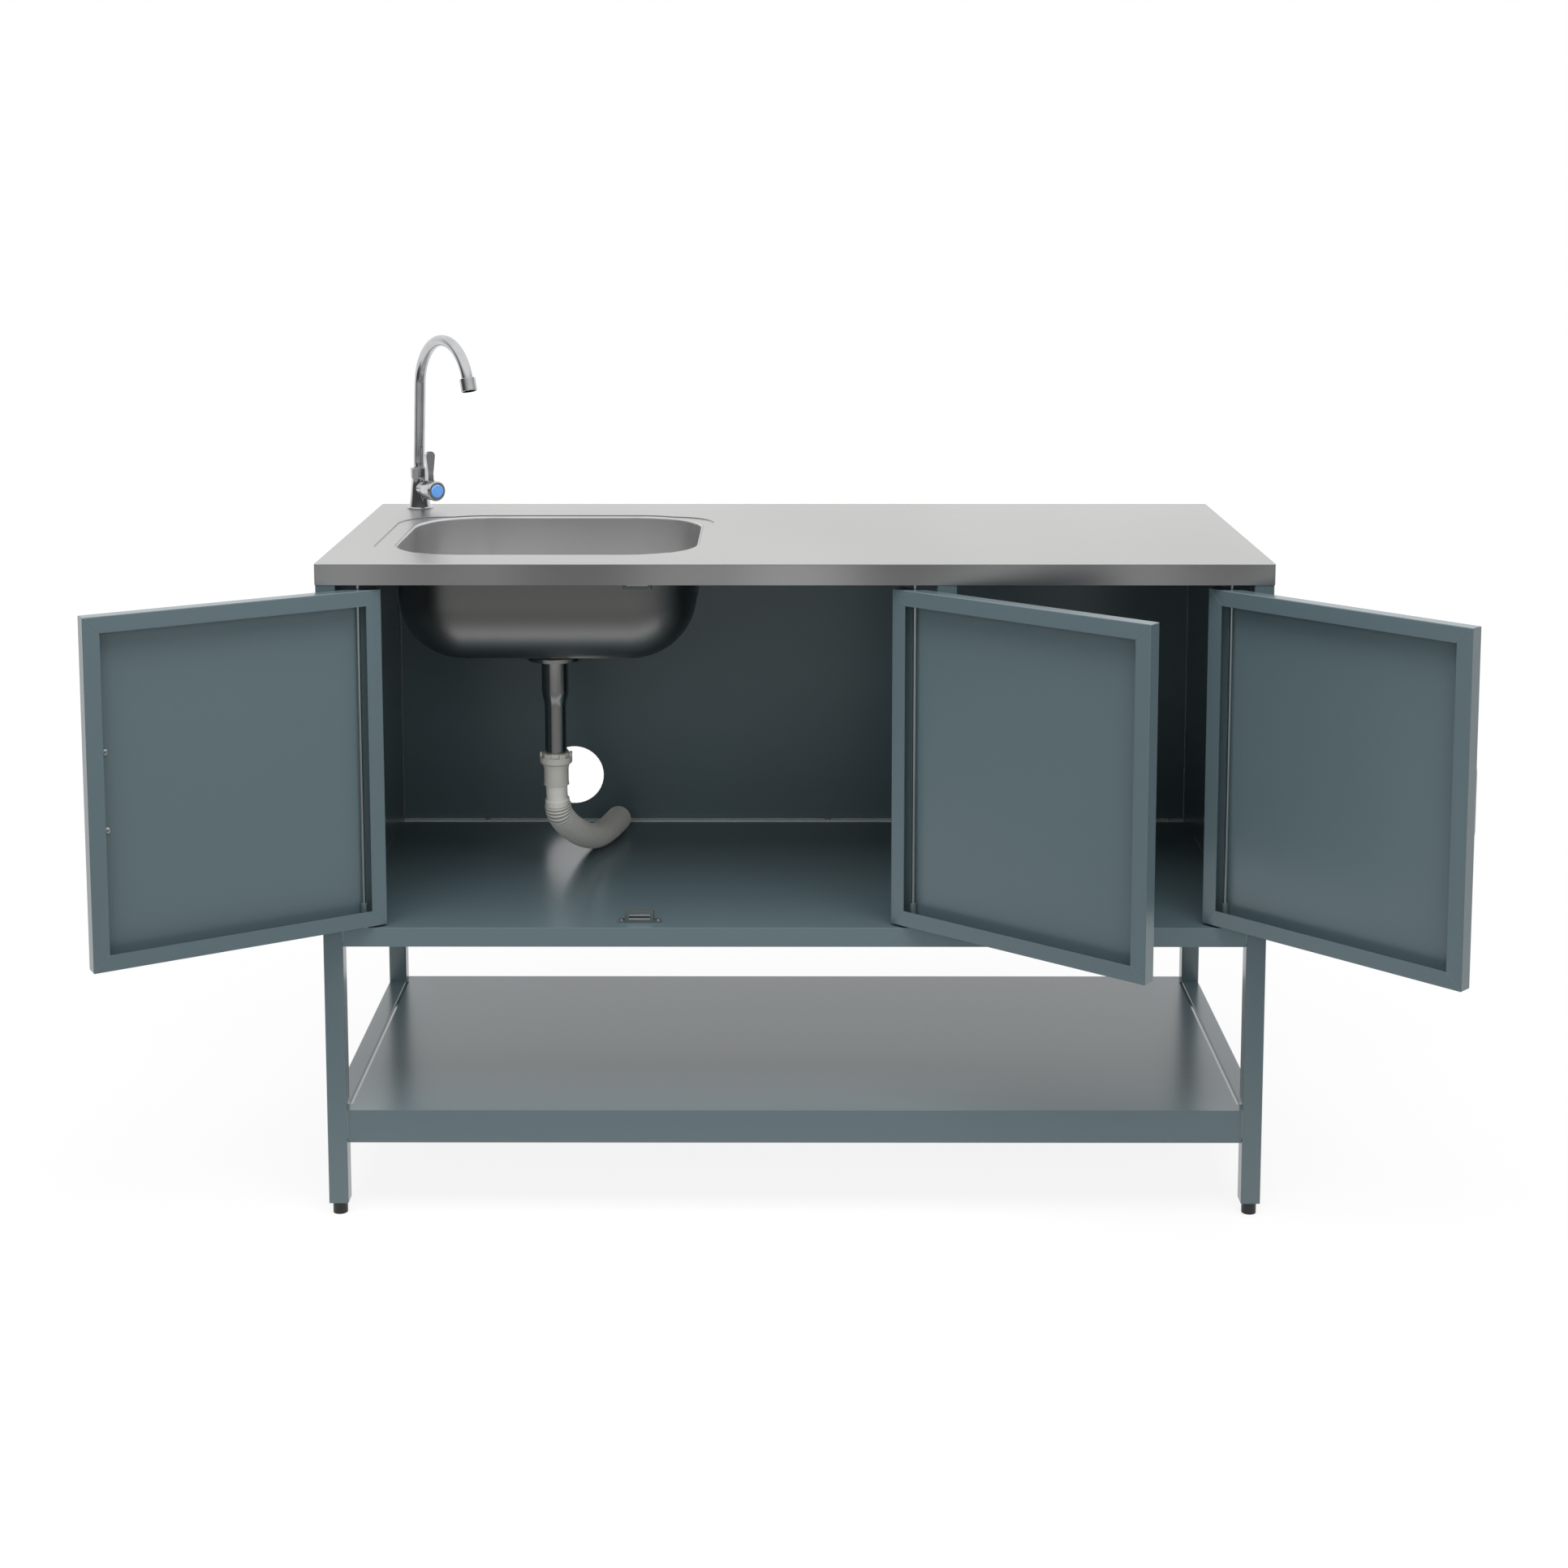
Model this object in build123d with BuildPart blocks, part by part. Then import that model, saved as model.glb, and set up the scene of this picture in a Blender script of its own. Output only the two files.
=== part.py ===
from build123d import *
from math import cos, pi, radians, sin, tan
import os

os.makedirs("parts", exist_ok=True)

# Kitchen sink unit. X runs along the unit, Y towards its back, Z up. The origin is on the floor, at the
# centre of the worktop's outline. All sizes are in millimetres, and the doors stand open.

# ---------------------------------------------------------------- overall size and worktop
unit_length = 1200
unit_depth = 520
unit_height = 850
worktop_sheet = 1
worktop_edge = 27
worktop_corner = 2.5
worktop_fold = 1.2

# ---------------------------------------------------------------- frame of square tube
tube = 25
tube_wall = 1.5
tube_corner = 2
front_rail_width = 40
top_rail_height = 20
foot_height = 16
mullion_x = 190.5

# ---------------------------------------------------------------- sheet panels
panel_sheet = 1
fit_gap = 0.3
cupboard_height = 468.5
floor_fold = 25
floor_setback = 1.5
shelf_top = 139
shelf_fold = 43
shelf_setback = 4
shelf_side_gap = 4
return_lip = 12
side_flange = 12
back_flange = 9
back_panel_inset = 11
back_hem = 12
pipe_hole_x = -322.6
pipe_hole_above_floor = 67.4
pipe_hole_radius = 42.75
back_screw_first = -450
back_screw_spacing = 500
back_screw_radius = 1.9
back_screw_head_radius = 4
back_screw_head = 2.4
back_screw_length = 9

# ---------------------------------------------------------------- doors, measured when closed
door_top_gap = 12.5
door_thickness = 20
door_lip = 20
door_edge_radius = 1.2
door_floor_gap = 2.5
hinge_edge_gap = 1.8
meeting_gap = 3
door_free_gap = 2.5
pivot_from_edge = 25.5
pivot_from_front = 6.5
left_door_open = 149
middle_door_open = 141
right_door_open = 135

# ---------------------------------------------------------------- door pivots and handles
rod_radius = 2
rod_into_rail = 5
turning_gap = 0.08
seat_gap = 0.05
collar_radius = 4
collar_height = 27
bush_flange_radius = 6
bush_flange_height = 1.2
bush_barrel_radius = 4
bush_depth = 7.5
bush_floor = 1.8
handle_from_hinge_edge = 346
handle_centres = 96
handle_reach = 28
handle_radius = 5
handle_bend = 14
handle_screw_radius = 1.6
handle_screw_head_radius = 4
handle_screw_head = 2.4
handle_screw_length = 12

# ---------------------------------------------------------------- magnetic catches
catch_length = 36.3
catch_height = 15.7
catch_depth = 16
catch_door_gap = 0.4
catch_ear = 10
catch_ear_height = 1.6
catch_screw_radius = 1.4
catch_screw_head_radius = 2.8
catch_screw_head = 1.6
catch_screw_length = 5
magnet_length = 27
magnet_height = 3.2
magnet_depth = 10
pole_height = 1.6

# ---------------------------------------------------------------- sink bowl and pressed border
bowl_x = -324
bowl_y = -21.5
bowl_length = 399
bowl_width = 333
bowl_corner = 94
bowl_depth = 150.5
bowl_sheet = 1
bowl_rim = 3.2
bowl_taper = 1.5
bowl_bottom_radius = 84
border_x = -329.2
border_y = -20
border_length = 437.5
border_width = 310
border_corner = 60
border_drop = 1.2
border_land = 3
rim_land = 0.4

# ---------------------------------------------------------------- waste, tube and coupling
waste_x = -323
waste_y = -24
waste_sheet = 1.2
waste_hole_radius = 38
waste_flange_radius = 52
waste_cup_radius = 37
waste_cup_depth = 19
waste_gasket_height = 3
waste_gasket_radius = 50
waste_nut_height = 8
waste_nut_radius = 47
grid_hole_radius = 3
grid_holes = 8
waste_tube_radius = 18.2
waste_tube_wall = 0.8
waste_tube_straight = 43.3
waste_tube_neck = 22
waste_pipe_radius = 14.5
coupling_nut_radius = 21.75
coupling_nut_height = 16.9
coupling_nut_taper = 3
coupling_seal_height = 6
coupling_seal_width = 2.9
sleeve_above_floor = 125.2
sleeve_height = 28.2
sleeve_radius = 17.3
sleeve_web = 3
pipe_into_sleeve = 9.9

# ---------------------------------------------------------------- ribbed drain hose
hose_radius = 18
hose_bore = 15.6
hose_rib_depth = 1.2
hose_rib_pitch = 4
hose_cuff_radius = 14.5
hose_cuff_bore = 12.6
hose_cuff_length = 35.7
hose_ring_radius = 16.6
hose_ring_length = 6.7
hose_step = 0.5
hose_bend_share = 0.45
rib_foot = 0.2
rib_crown = 0.45
rib_crown_end = 0.75

# ---------------------------------------------------------------- tap
tap_x = -538.4
tap_from_back = 43.1
tap_turn = 37
tap_base_radius = 18.5
tap_base_height = 3
tap_body_height = 44
tap_foot_radius = 16
tap_waist_radius = 11.5
tap_bore = 6
shank_radius = 11
shank_length = 14
shank_hole_radius = 11.6
tail_radius = 10.48
tail_length = 31
tap_washer_radius = 17
tap_washer_height = 3
tap_nut_radius = 16
tap_nut_height = 8
spout_nut_radius = 13
spout_nut_height = 15
spout_radius = 8
spout_wall = 1
spout_socket = 14
spout_upright = 9
spout_lean = 3.4
spout_lean_radius = 160
spout_slope_length = 103
spout_arch_radius = 70
spout_arch_end = 163
spout_tip = 4
aerator_radius = 11.2
aerator_length = 18
aerator_overlap = 5
aerator_wall = 1.6
aerator_holes = 8
valve_height = 30
valve_radius = 10
valve_reach = 24
stem_radius = 4
stem_length = 9
hub_radius = 14.3
hub_neck_radius = 11.5
hub_length = 27
hub_neck_length = 5
cap_radius = 9.5
cap_height = 1.8
cap_edge_radius = 1.6
lever_centre = 7.2
lever_thickness = 5
lever_height = 55.5
lever_tip_radius = 7
lever_neck = 8
lever_root = 11

# ---------------------------------------------------------------- levelling feet
foot_radius = 9.4
foot_chamfer = 1.5
stud_radius = 4
stud_length = 38
insert_length = 25

# ---------------------------------------------------------------- places worked out from the sizes
front = -unit_depth / 2
back = unit_depth / 2
top_underside = unit_height - worktop_sheet
floor_top = unit_height - cupboard_height
tap_y = back - tap_from_back
frame_front = front + worktop_sheet
frame_back = back - worktop_sheet
frame_side = unit_length / 2 - worktop_sheet
opening_side = frame_side - tube
leg_x = frame_side - tube / 2
leg_y = frame_back - tube / 2
side_length = 2 * (frame_back - tube)
rail_bottom = top_underside - top_rail_height
sheet_side = opening_side - fit_gap
door_bottom = floor_top + door_floor_gap
door_height = rail_bottom - door_top_gap - door_bottom
pivot_y = frame_front + pivot_from_front
door_back_y = frame_front + door_thickness
mullion_left = mullion_x - tube / 2
mullion_right = mullion_x + tube / 2
left_pivot_x = -opening_side + hinge_edge_gap + pivot_from_edge
middle_pivot_x = mullion_left - hinge_edge_gap - pivot_from_edge
right_pivot_x = opening_side - hinge_edge_gap - pivot_from_edge
pair_width = (mullion_left + opening_side - 2 * hinge_edge_gap - meeting_gap) / 2
right_width = opening_side - mullion_right - hinge_edge_gap - door_free_gap
rod_hole = rod_radius + turning_gap
meeting_x = (left_pivot_x + middle_pivot_x) / 2
catch_screw_y = door_back_y + catch_door_gap + catch_depth / 2
catch_screw_reach = (catch_length + catch_ear) / 2
catch_screw_xs = (meeting_x - catch_screw_reach, meeting_x + catch_screw_reach)
back_panel_y = frame_back - back_panel_inset
back_screw_y = back_panel_y - back_hem / 2
back_screw_xs = [back_screw_first + number * back_screw_spacing for number in range(3)]
bowl_top = unit_height - border_drop
bowl_floor = bowl_top - bowl_depth + bowl_sheet
tap_axis = Vector(sin(radians(tap_turn)), -cos(radians(tap_turn)), 0)
tap_side = Vector(cos(radians(tap_turn)), sin(radians(tap_turn)), 0)


def straight_tube(plane, width, height, length):
    """A rectangular tube drawn on a plane, about its origin, and run along its normal."""
    with BuildPart() as run:
        with BuildSketch(plane):
            RectangleRounded(width, height, tube_corner)
            Rectangle(width - 2 * tube_wall, height - 2 * tube_wall, mode=Mode.SUBTRACT)
        extrude(amount=length)
    return run


# ---------------------------------------------------------------- worktop
# A stainless sheet folded down on four sides, with a shallow pressed border beside the bowl, the cut-out
# that the bowl is welded into and the tap hole.
with BuildPart() as worktop:
    with BuildSketch(Plane.XY.offset(unit_height - worktop_edge)):
        RectangleRounded(unit_length, unit_depth, worktop_corner)
    extrude(amount=worktop_edge)
    with BuildSketch(Plane.XY.offset(unit_height - worktop_edge)):
        RectangleRounded(2 * frame_side, unit_depth - 2 * worktop_sheet, worktop_corner - worktop_sheet)
    extrude(amount=worktop_edge - worktop_sheet, mode=Mode.SUBTRACT)
    with BuildSketch(Plane.XY.offset(bowl_top - worktop_sheet)):
        with Locations((border_x, border_y)):
            RectangleRounded(
                border_length + 2 * worktop_sheet,
                border_width + 2 * worktop_sheet,
                border_corner + worktop_sheet,
            )
        with Locations((bowl_x, bowl_y)):
            RectangleRounded(
                bowl_length + 2 * (border_land + worktop_sheet),
                bowl_width + 2 * (border_land + worktop_sheet),
                bowl_corner + border_land + worktop_sheet,
            )
    extrude(amount=border_drop)
    with BuildSketch(Plane.XY.offset(bowl_top)):
        with Locations((border_x, border_y)):
            RectangleRounded(border_length, border_width, border_corner)
        with Locations((bowl_x, bowl_y)):
            RectangleRounded(
                bowl_length + 2 * border_land,
                bowl_width + 2 * border_land,
                bowl_corner + border_land,
            )
    extrude(amount=border_drop, mode=Mode.SUBTRACT)
    with BuildSketch(Plane.XY.offset(bowl_top - worktop_sheet)):
        with Locations((bowl_x, bowl_y)):
            RectangleRounded(bowl_length, bowl_width, bowl_corner)
    extrude(amount=worktop_sheet + border_drop, mode=Mode.SUBTRACT)
    with Locations((tap_x, tap_y, unit_height)):
        Hole(shank_hole_radius, depth=2 * worktop_sheet)
    fillet(worktop.faces().sort_by(Axis.Z)[-1].outer_wire().edges(), worktop_fold)
worktop.part.label = "worktop"
export_step(worktop.part, "parts/worktop.step")


# ---------------------------------------------------------------- sink bowl
# A deep-drawn bowl with a rolled rim, steep walls, a large bottom radius and the hole for the waste.
with BuildPart() as bowl_hollow:
    with BuildSketch(Plane((bowl_x, bowl_y, bowl_top), z_dir=(0, 0, -1))):
        RectangleRounded(
            bowl_length - 2 * bowl_rim,
            bowl_width - 2 * bowl_rim,
            bowl_corner - bowl_rim,
        )
    extrude(amount=bowl_depth - bowl_sheet, taper=bowl_taper)
    fillet(bowl_hollow.edges().group_by(Axis.Z)[0], bowl_bottom_radius - bowl_sheet)

with BuildPart() as sink_bowl:
    with BuildSketch(Plane((bowl_x, bowl_y, bowl_top), z_dir=(0, 0, -1))):
        RectangleRounded(
            bowl_length - 2 * bowl_rim + 2 * bowl_sheet,
            bowl_width - 2 * bowl_rim + 2 * bowl_sheet,
            bowl_corner - bowl_rim + bowl_sheet,
        )
    extrude(amount=bowl_depth, taper=bowl_taper)
    fillet(sink_bowl.edges().group_by(Axis.Z)[0], bowl_bottom_radius)
    with BuildSketch(Plane.XY.offset(bowl_top - bowl_sheet)):
        with Locations((bowl_x, bowl_y)):
            RectangleRounded(bowl_length, bowl_width, bowl_corner)
    extrude(amount=bowl_sheet)
    rim_underside = sink_bowl.faces().filter_by(Axis.Z).sort_by(Axis.Z)[-2]
    fillet(rim_underside.inner_wires()[0].edges(), bowl_rim - bowl_sheet - rim_land)
    add(bowl_hollow.part, mode=Mode.SUBTRACT)
    rim_top = sink_bowl.faces().filter_by(Axis.Z).sort_by(Axis.Z)[-1]
    fillet(rim_top.inner_wires()[0].edges(), bowl_rim - rim_land)
    with Locations((waste_x, waste_y, bowl_floor)):
        Hole(waste_hole_radius, depth=2 * bowl_sheet)
sink_bowl.part.label = "sink_bowl"
export_step(sink_bowl.part, "parts/sink_bowl.step")


# ---------------------------------------------------------------- legs, rails and mullion
# Square tubes: four legs, four top rails under the worktop, a pair of rails beside the cupboard floor, a
# pair beside the shelf, and the mullion between the two bays.
for x_sign, x_word in ((-1, "left"), (1, "right")):
    for y_sign, y_word in ((-1, "front"), (1, "rear")):
        leg_foot = Plane((x_sign * leg_x, y_sign * leg_y, foot_height))
        leg = straight_tube(leg_foot, tube, tube, top_underside - foot_height)
        leg.part.label = f"leg_{y_word}_{x_word}"
        export_step(leg.part, f"parts/leg_{y_word}_{x_word}.step")

for rail_top, rail_height, rail_name in (
    (top_underside, top_rail_height, "top_side_rails"),
    (floor_top, tube, "floor_side_rails"),
    (shelf_top, tube, "shelf_side_rails"),
):
    with BuildPart() as side_rails:
        for x_sign in (-1, 1):
            rail_centre = (x_sign * leg_x, -side_length / 2, rail_top - rail_height / 2)
            rail_end = Plane(rail_centre, x_dir=(1, 0, 0), z_dir=(0, 1, 0))
            add(straight_tube(rail_end, tube, rail_height, side_length).part)
    side_rails.part.label = rail_name
    export_step(side_rails.part, f"parts/{rail_name}.step")

rail_middle_z = top_underside - top_rail_height / 2
rear_rail_end = Plane((-opening_side, leg_y, rail_middle_z), x_dir=(0, 1, 0), z_dir=(1, 0, 0))
top_rail_rear = straight_tube(rear_rail_end, tube, top_rail_height, 2 * opening_side)
top_rail_rear.part.label = "top_rail_rear"
export_step(top_rail_rear.part, "parts/top_rail_rear.step")

front_rail_y = frame_front + front_rail_width / 2
with BuildPart() as top_rail_front:
    front_rail_end = Plane((-opening_side, front_rail_y, rail_middle_z), x_dir=(0, 1, 0), z_dir=(1, 0, 0))
    with BuildSketch(front_rail_end):
        RectangleRounded(front_rail_width, top_rail_height, tube_corner)
        Rectangle(front_rail_width - 2 * tube_wall, top_rail_height - 2 * tube_wall, mode=Mode.SUBTRACT)
    extrude(amount=2 * opening_side)
    with Locations(*[(x, pivot_y, rail_bottom) for x in (left_pivot_x, middle_pivot_x, right_pivot_x)]):
        Hole(rod_hole, depth=tube_wall)
    with Locations(*[(x, catch_screw_y, rail_bottom) for x in catch_screw_xs]):
        Hole(catch_screw_radius + seat_gap, depth=tube_wall)
top_rail_front.part.label = "top_rail_front"
export_step(top_rail_front.part, "parts/top_rail_front.step")

mullion_foot = Plane((mullion_x, frame_front + tube / 2, floor_top))
mullion = straight_tube(mullion_foot, tube, tube, rail_bottom - floor_top)
mullion.part.label = "mullion"
export_step(mullion.part, "parts/mullion.step")


# ---------------------------------------------------------------- cupboard floor and shelf
# Each is a sheet folded down at the front and the back, with a lip turned in below.
def folded_tray(top, fold, front_face, back_face, half_length):
    """A sheet with its front and back edges folded down, and a lip turned in under each."""
    depth = back_face - front_face
    middle_y = (front_face + back_face) / 2
    with BuildPart() as tray:
        with BuildSketch(Plane.YZ.offset(-half_length)):
            with Locations((middle_y, top - fold / 2)):
                Rectangle(depth, fold)
                Rectangle(depth - 2 * panel_sheet, fold - 2 * panel_sheet, mode=Mode.SUBTRACT)
            with Locations((middle_y, top - fold + panel_sheet / 2)):
                Rectangle(depth - 2 * return_lip, panel_sheet, mode=Mode.SUBTRACT)
        extrude(amount=2 * half_length)
        outer_folds = tray.edges().filter_by(Axis.X).group_by(Axis.Z)[-1]
        fillet(outer_folds, panel_sheet / 2)
    return tray


floor_tray = folded_tray(
    floor_top, floor_fold, frame_front + floor_setback, frame_back - floor_setback, sheet_side
)
with BuildPart() as cupboard_floor:
    add(floor_tray.part)
    with Locations(*[(x, pivot_y, floor_top) for x in (left_pivot_x, middle_pivot_x, right_pivot_x)]):
        Hole(bush_barrel_radius + seat_gap, depth=panel_sheet)
    with Locations(*[(x, catch_screw_y, floor_top) for x in catch_screw_xs]):
        Hole(catch_screw_radius + seat_gap, depth=panel_sheet)
    with Locations(*[(x, back_screw_y, floor_top) for x in back_screw_xs]):
        Hole(back_screw_radius + seat_gap, depth=panel_sheet)
cupboard_floor.part.label = "cupboard_floor"
export_step(cupboard_floor.part, "parts/cupboard_floor.step")

shelf_tray = folded_tray(
    shelf_top, shelf_fold, frame_front + shelf_setback, frame_back - floor_setback, sheet_side
)
with BuildPart() as shelf_panel:
    add(shelf_tray.part)
    side_notch = opening_side - shelf_side_gap
    with BuildSketch(Plane.XY.offset(shelf_top - shelf_fold)):
        with Locations((-sheet_side, 0), (sheet_side, 0)):
            Rectangle(2 * (sheet_side - side_notch), side_length)
    extrude(amount=shelf_fold, mode=Mode.SUBTRACT)
shelf_panel.part.label = "shelf_panel"
export_step(shelf_panel.part, "parts/shelf_panel.step")


# ---------------------------------------------------------------- side and back panels
# The sides are flat sheets flush with the legs' inner faces, with a flange turned out on each edge. The
# back stands on the cupboard floor on a hem that is screwed down, and has the hole for the waste pipe.
for x_sign, x_word in ((-1, "left"), (1, "right")):
    with BuildPart() as side_panel:
        with BuildSketch(Plane.YZ.offset(x_sign * opening_side)):
            with Locations((0, (floor_top + rail_bottom) / 2)):
                Rectangle(side_length - 2 * fit_gap, rail_bottom - floor_top - 2 * fit_gap)
        extrude(amount=x_sign * side_flange)
        with BuildSketch(Plane.YZ.offset(x_sign * (opening_side + panel_sheet))):
            with Locations((0, (floor_top + rail_bottom) / 2)):
                Rectangle(
                    side_length - 2 * fit_gap - 2 * panel_sheet,
                    rail_bottom - floor_top - 2 * fit_gap - 2 * panel_sheet,
                )
        extrude(amount=x_sign * side_flange, mode=Mode.SUBTRACT)
    side_panel.part.label = f"side_panel_{x_word}"
    export_step(side_panel.part, f"parts/side_panel_{x_word}.step")

with BuildPart() as back_panel:
    back_plane = Plane((0, back_panel_y, 0), x_dir=(1, 0, 0), z_dir=(0, -1, 0))
    with BuildSketch(back_plane.offset(-back_flange)):
        with Locations((0, (floor_top + rail_bottom - fit_gap) / 2)):
            Rectangle(2 * sheet_side, rail_bottom - floor_top - fit_gap)
    extrude(amount=back_flange)
    with BuildSketch(back_plane.offset(-back_flange)):
        with Locations((0, (floor_top + rail_bottom - fit_gap) / 2)):
            Rectangle(2 * sheet_side - 2 * panel_sheet, rail_bottom - floor_top - fit_gap - 2 * panel_sheet)
    extrude(amount=back_flange - panel_sheet, mode=Mode.SUBTRACT)
    with BuildSketch(back_plane):
        with Locations((0, floor_top + panel_sheet / 2)):
            Rectangle(2 * sheet_side, panel_sheet)
    extrude(amount=back_hem)
    with BuildSketch(back_plane.offset(-back_flange)):
        with Locations((pipe_hole_x, floor_top + pipe_hole_above_floor)):
            Circle(pipe_hole_radius)
    extrude(amount=back_flange, mode=Mode.SUBTRACT)
    with Locations(*[(x, back_screw_y, floor_top + panel_sheet) for x in back_screw_xs]):
        Hole(back_screw_radius + seat_gap, depth=panel_sheet)
back_panel.part.label = "back_panel"
export_step(back_panel.part, "parts/back_panel.step")

with BuildPart() as back_panel_screws:
    with BuildSketch(Plane.XY.offset(floor_top + panel_sheet)):
        with Locations(*[(x, back_screw_y) for x in back_screw_xs]):
            Circle(back_screw_head_radius)
    extrude(amount=back_screw_head)
    fillet(back_panel_screws.edges().group_by(Axis.Z)[-1], back_screw_head / 2)
    with BuildSketch(Plane.XY.offset(floor_top + panel_sheet)):
        with Locations(*[(x, back_screw_y) for x in back_screw_xs]):
            Circle(back_screw_radius)
    extrude(amount=-back_screw_length)
back_panel_screws.part.label = "back_panel_screws"
export_step(back_panel_screws.part, "parts/back_panel_screws.step")


# ---------------------------------------------------------------- levelling feet and their inserts
# A threaded plug fills each leg's end, and each foot's stud screws up into it.
insert_side = tube - 2 * tube_wall - 2 * seat_gap
with BuildPart() as leg_inserts:
    with BuildSketch(Plane.XY.offset(foot_height)):
        with GridLocations(2 * leg_x, 2 * leg_y, 2, 2):
            Rectangle(insert_side, insert_side)
            Circle(stud_radius + turning_gap, mode=Mode.SUBTRACT)
    extrude(amount=insert_length)
leg_inserts.part.label = "leg_inserts"
export_step(leg_inserts.part, "parts/leg_inserts.step")

for x_sign, x_word in ((-1, "left"), (1, "right")):
    for y_sign, y_word in ((-1, "front"), (1, "rear")):
        foot_plane = Plane((x_sign * leg_x, y_sign * leg_y, 0))
        with BuildPart() as foot:
            with BuildSketch(foot_plane):
                Circle(foot_radius)
            extrude(amount=foot_height - fit_gap)
            chamfer(foot.edges().group_by(Axis.Z)[-1], foot_chamfer)
            with BuildSketch(foot_plane.offset(foot_height - fit_gap)):
                Circle(stud_radius)
            extrude(amount=stud_length - foot_height + fit_gap)
        foot.part.label = f"foot_{y_word}_{x_word}"
        export_step(foot.part, f"parts/foot_{y_word}_{x_word}.step")


# ---------------------------------------------------------------- door pivot bushes
# Flanged bushes in the cupboard floor, closed at the bottom, that the three pivot rods stand in.
with BuildPart() as pivot_bushes:
    for pivot_x in (left_pivot_x, middle_pivot_x, right_pivot_x):
        with BuildSketch(Plane((pivot_x, pivot_y, floor_top + bush_flange_height - bush_depth))):
            Circle(bush_barrel_radius)
        extrude(amount=bush_depth)
        with BuildSketch(Plane((pivot_x, pivot_y, floor_top))):
            Circle(bush_flange_radius)
        extrude(amount=bush_flange_height)
        with Locations((pivot_x, pivot_y, floor_top + bush_flange_height)):
            Hole(rod_hole, depth=bush_depth - bush_floor)
pivot_bushes.part.label = "pivot_bushes"
export_step(pivot_bushes.part, "parts/pivot_bushes.step")


# ---------------------------------------------------------------- magnetic catches
# One catch is screwed to the cupboard floor and one hangs from the front rail, both just behind the
# meeting doors. Each has a housing, a magnet and two steel pole strips at its front.
def catch_housing(seat, front_y):
    """A catch housing on a plane whose normal points away from the sheet that it is screwed to."""
    with BuildPart() as housing:
        with BuildSketch(seat):
            Rectangle(catch_length, catch_depth)
        extrude(amount=catch_height)
        fillet(housing.edges().filter_by(Axis.Z), panel_sheet)
        with BuildSketch(seat):
            Rectangle(catch_length + 2 * catch_ear, catch_depth - 2 * panel_sheet)
        extrude(amount=catch_ear_height)
        with BuildSketch(seat.offset(catch_height / 2 - magnet_height / 2 - pole_height)):
            with Locations((0, front_y)):
                Rectangle(magnet_length + 2 * seat_gap, 2 * magnet_depth)
        extrude(amount=magnet_height + 2 * pole_height, mode=Mode.SUBTRACT)
        with BuildSketch(seat):
            with Locations(*[(x - meeting_x, 0) for x in catch_screw_xs]):
                Circle(catch_screw_radius + seat_gap)
        extrude(amount=catch_ear_height, mode=Mode.SUBTRACT)
    return housing


catch_places = {
    "lower": (Plane((meeting_x, catch_screw_y, floor_top), x_dir=(1, 0, 0), z_dir=(0, 0, 1)), -1),
    "upper": (Plane((meeting_x, catch_screw_y, rail_bottom), x_dir=(1, 0, 0), z_dir=(0, 0, -1)), 1),
}
for catch_word, (catch_seat, front_sign) in catch_places.items():
    catch = catch_housing(catch_seat, front_sign * catch_depth / 2)
    catch.part.label = f"catch_housing_{catch_word}"
    export_step(catch.part, f"parts/catch_housing_{catch_word}.step")

with BuildPart() as catch_magnets:
    for catch_seat, front_sign in catch_places.values():
        magnet_y = front_sign * (catch_depth - magnet_depth) / 2
        with BuildSketch(catch_seat.offset(catch_height / 2 - magnet_height / 2)):
            with Locations((0, magnet_y)):
                Rectangle(magnet_length, magnet_depth - 2 * seat_gap)
        extrude(amount=magnet_height)
catch_magnets.part.label = "catch_magnets"
export_step(catch_magnets.part, "parts/catch_magnets.step")

with BuildPart() as catch_poles:
    for catch_seat, front_sign in catch_places.values():
        magnet_y = front_sign * (catch_depth - magnet_depth) / 2
        for pole_base in (-magnet_height / 2 - pole_height, magnet_height / 2):
            with BuildSketch(catch_seat.offset(catch_height / 2 + pole_base)):
                with Locations((0, magnet_y)):
                    Rectangle(magnet_length, magnet_depth)
            extrude(amount=pole_height)
catch_poles.part.label = "catch_poles"
export_step(catch_poles.part, "parts/catch_poles.step")

with BuildPart() as catch_screws:
    for catch_seat, front_sign in catch_places.values():
        with BuildSketch(catch_seat.offset(catch_ear_height)):
            with Locations(*[(x - meeting_x, 0) for x in catch_screw_xs]):
                Circle(catch_screw_head_radius)
        extrude(amount=catch_screw_head)
        with BuildSketch(catch_seat.offset(catch_ear_height)):
            with Locations(*[(x - meeting_x, 0) for x in catch_screw_xs]):
                Circle(catch_screw_radius)
        extrude(amount=-catch_screw_length)
catch_screws.part.label = "catch_screws"
export_step(catch_screws.part, "parts/catch_screws.step")


# ---------------------------------------------------------------- doors
# Each door is a folded pan with a lip all round its back, turning on a steel rod that stands in the floor
# bush and the front rail. A nylon collar holds the rod at the foot, and a bow handle is screwed on.
def door_plane(pivot_x, side, open_angle):
    """The plane at the door's foot on its pivot, X along the door and Z up; side is 1 for a left hinge."""
    along = (side * cos(radians(open_angle)), -sin(radians(open_angle)), 0)
    return Plane((pivot_x, pivot_y, door_bottom), x_dir=along, z_dir=(0, 0, 1))


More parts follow.
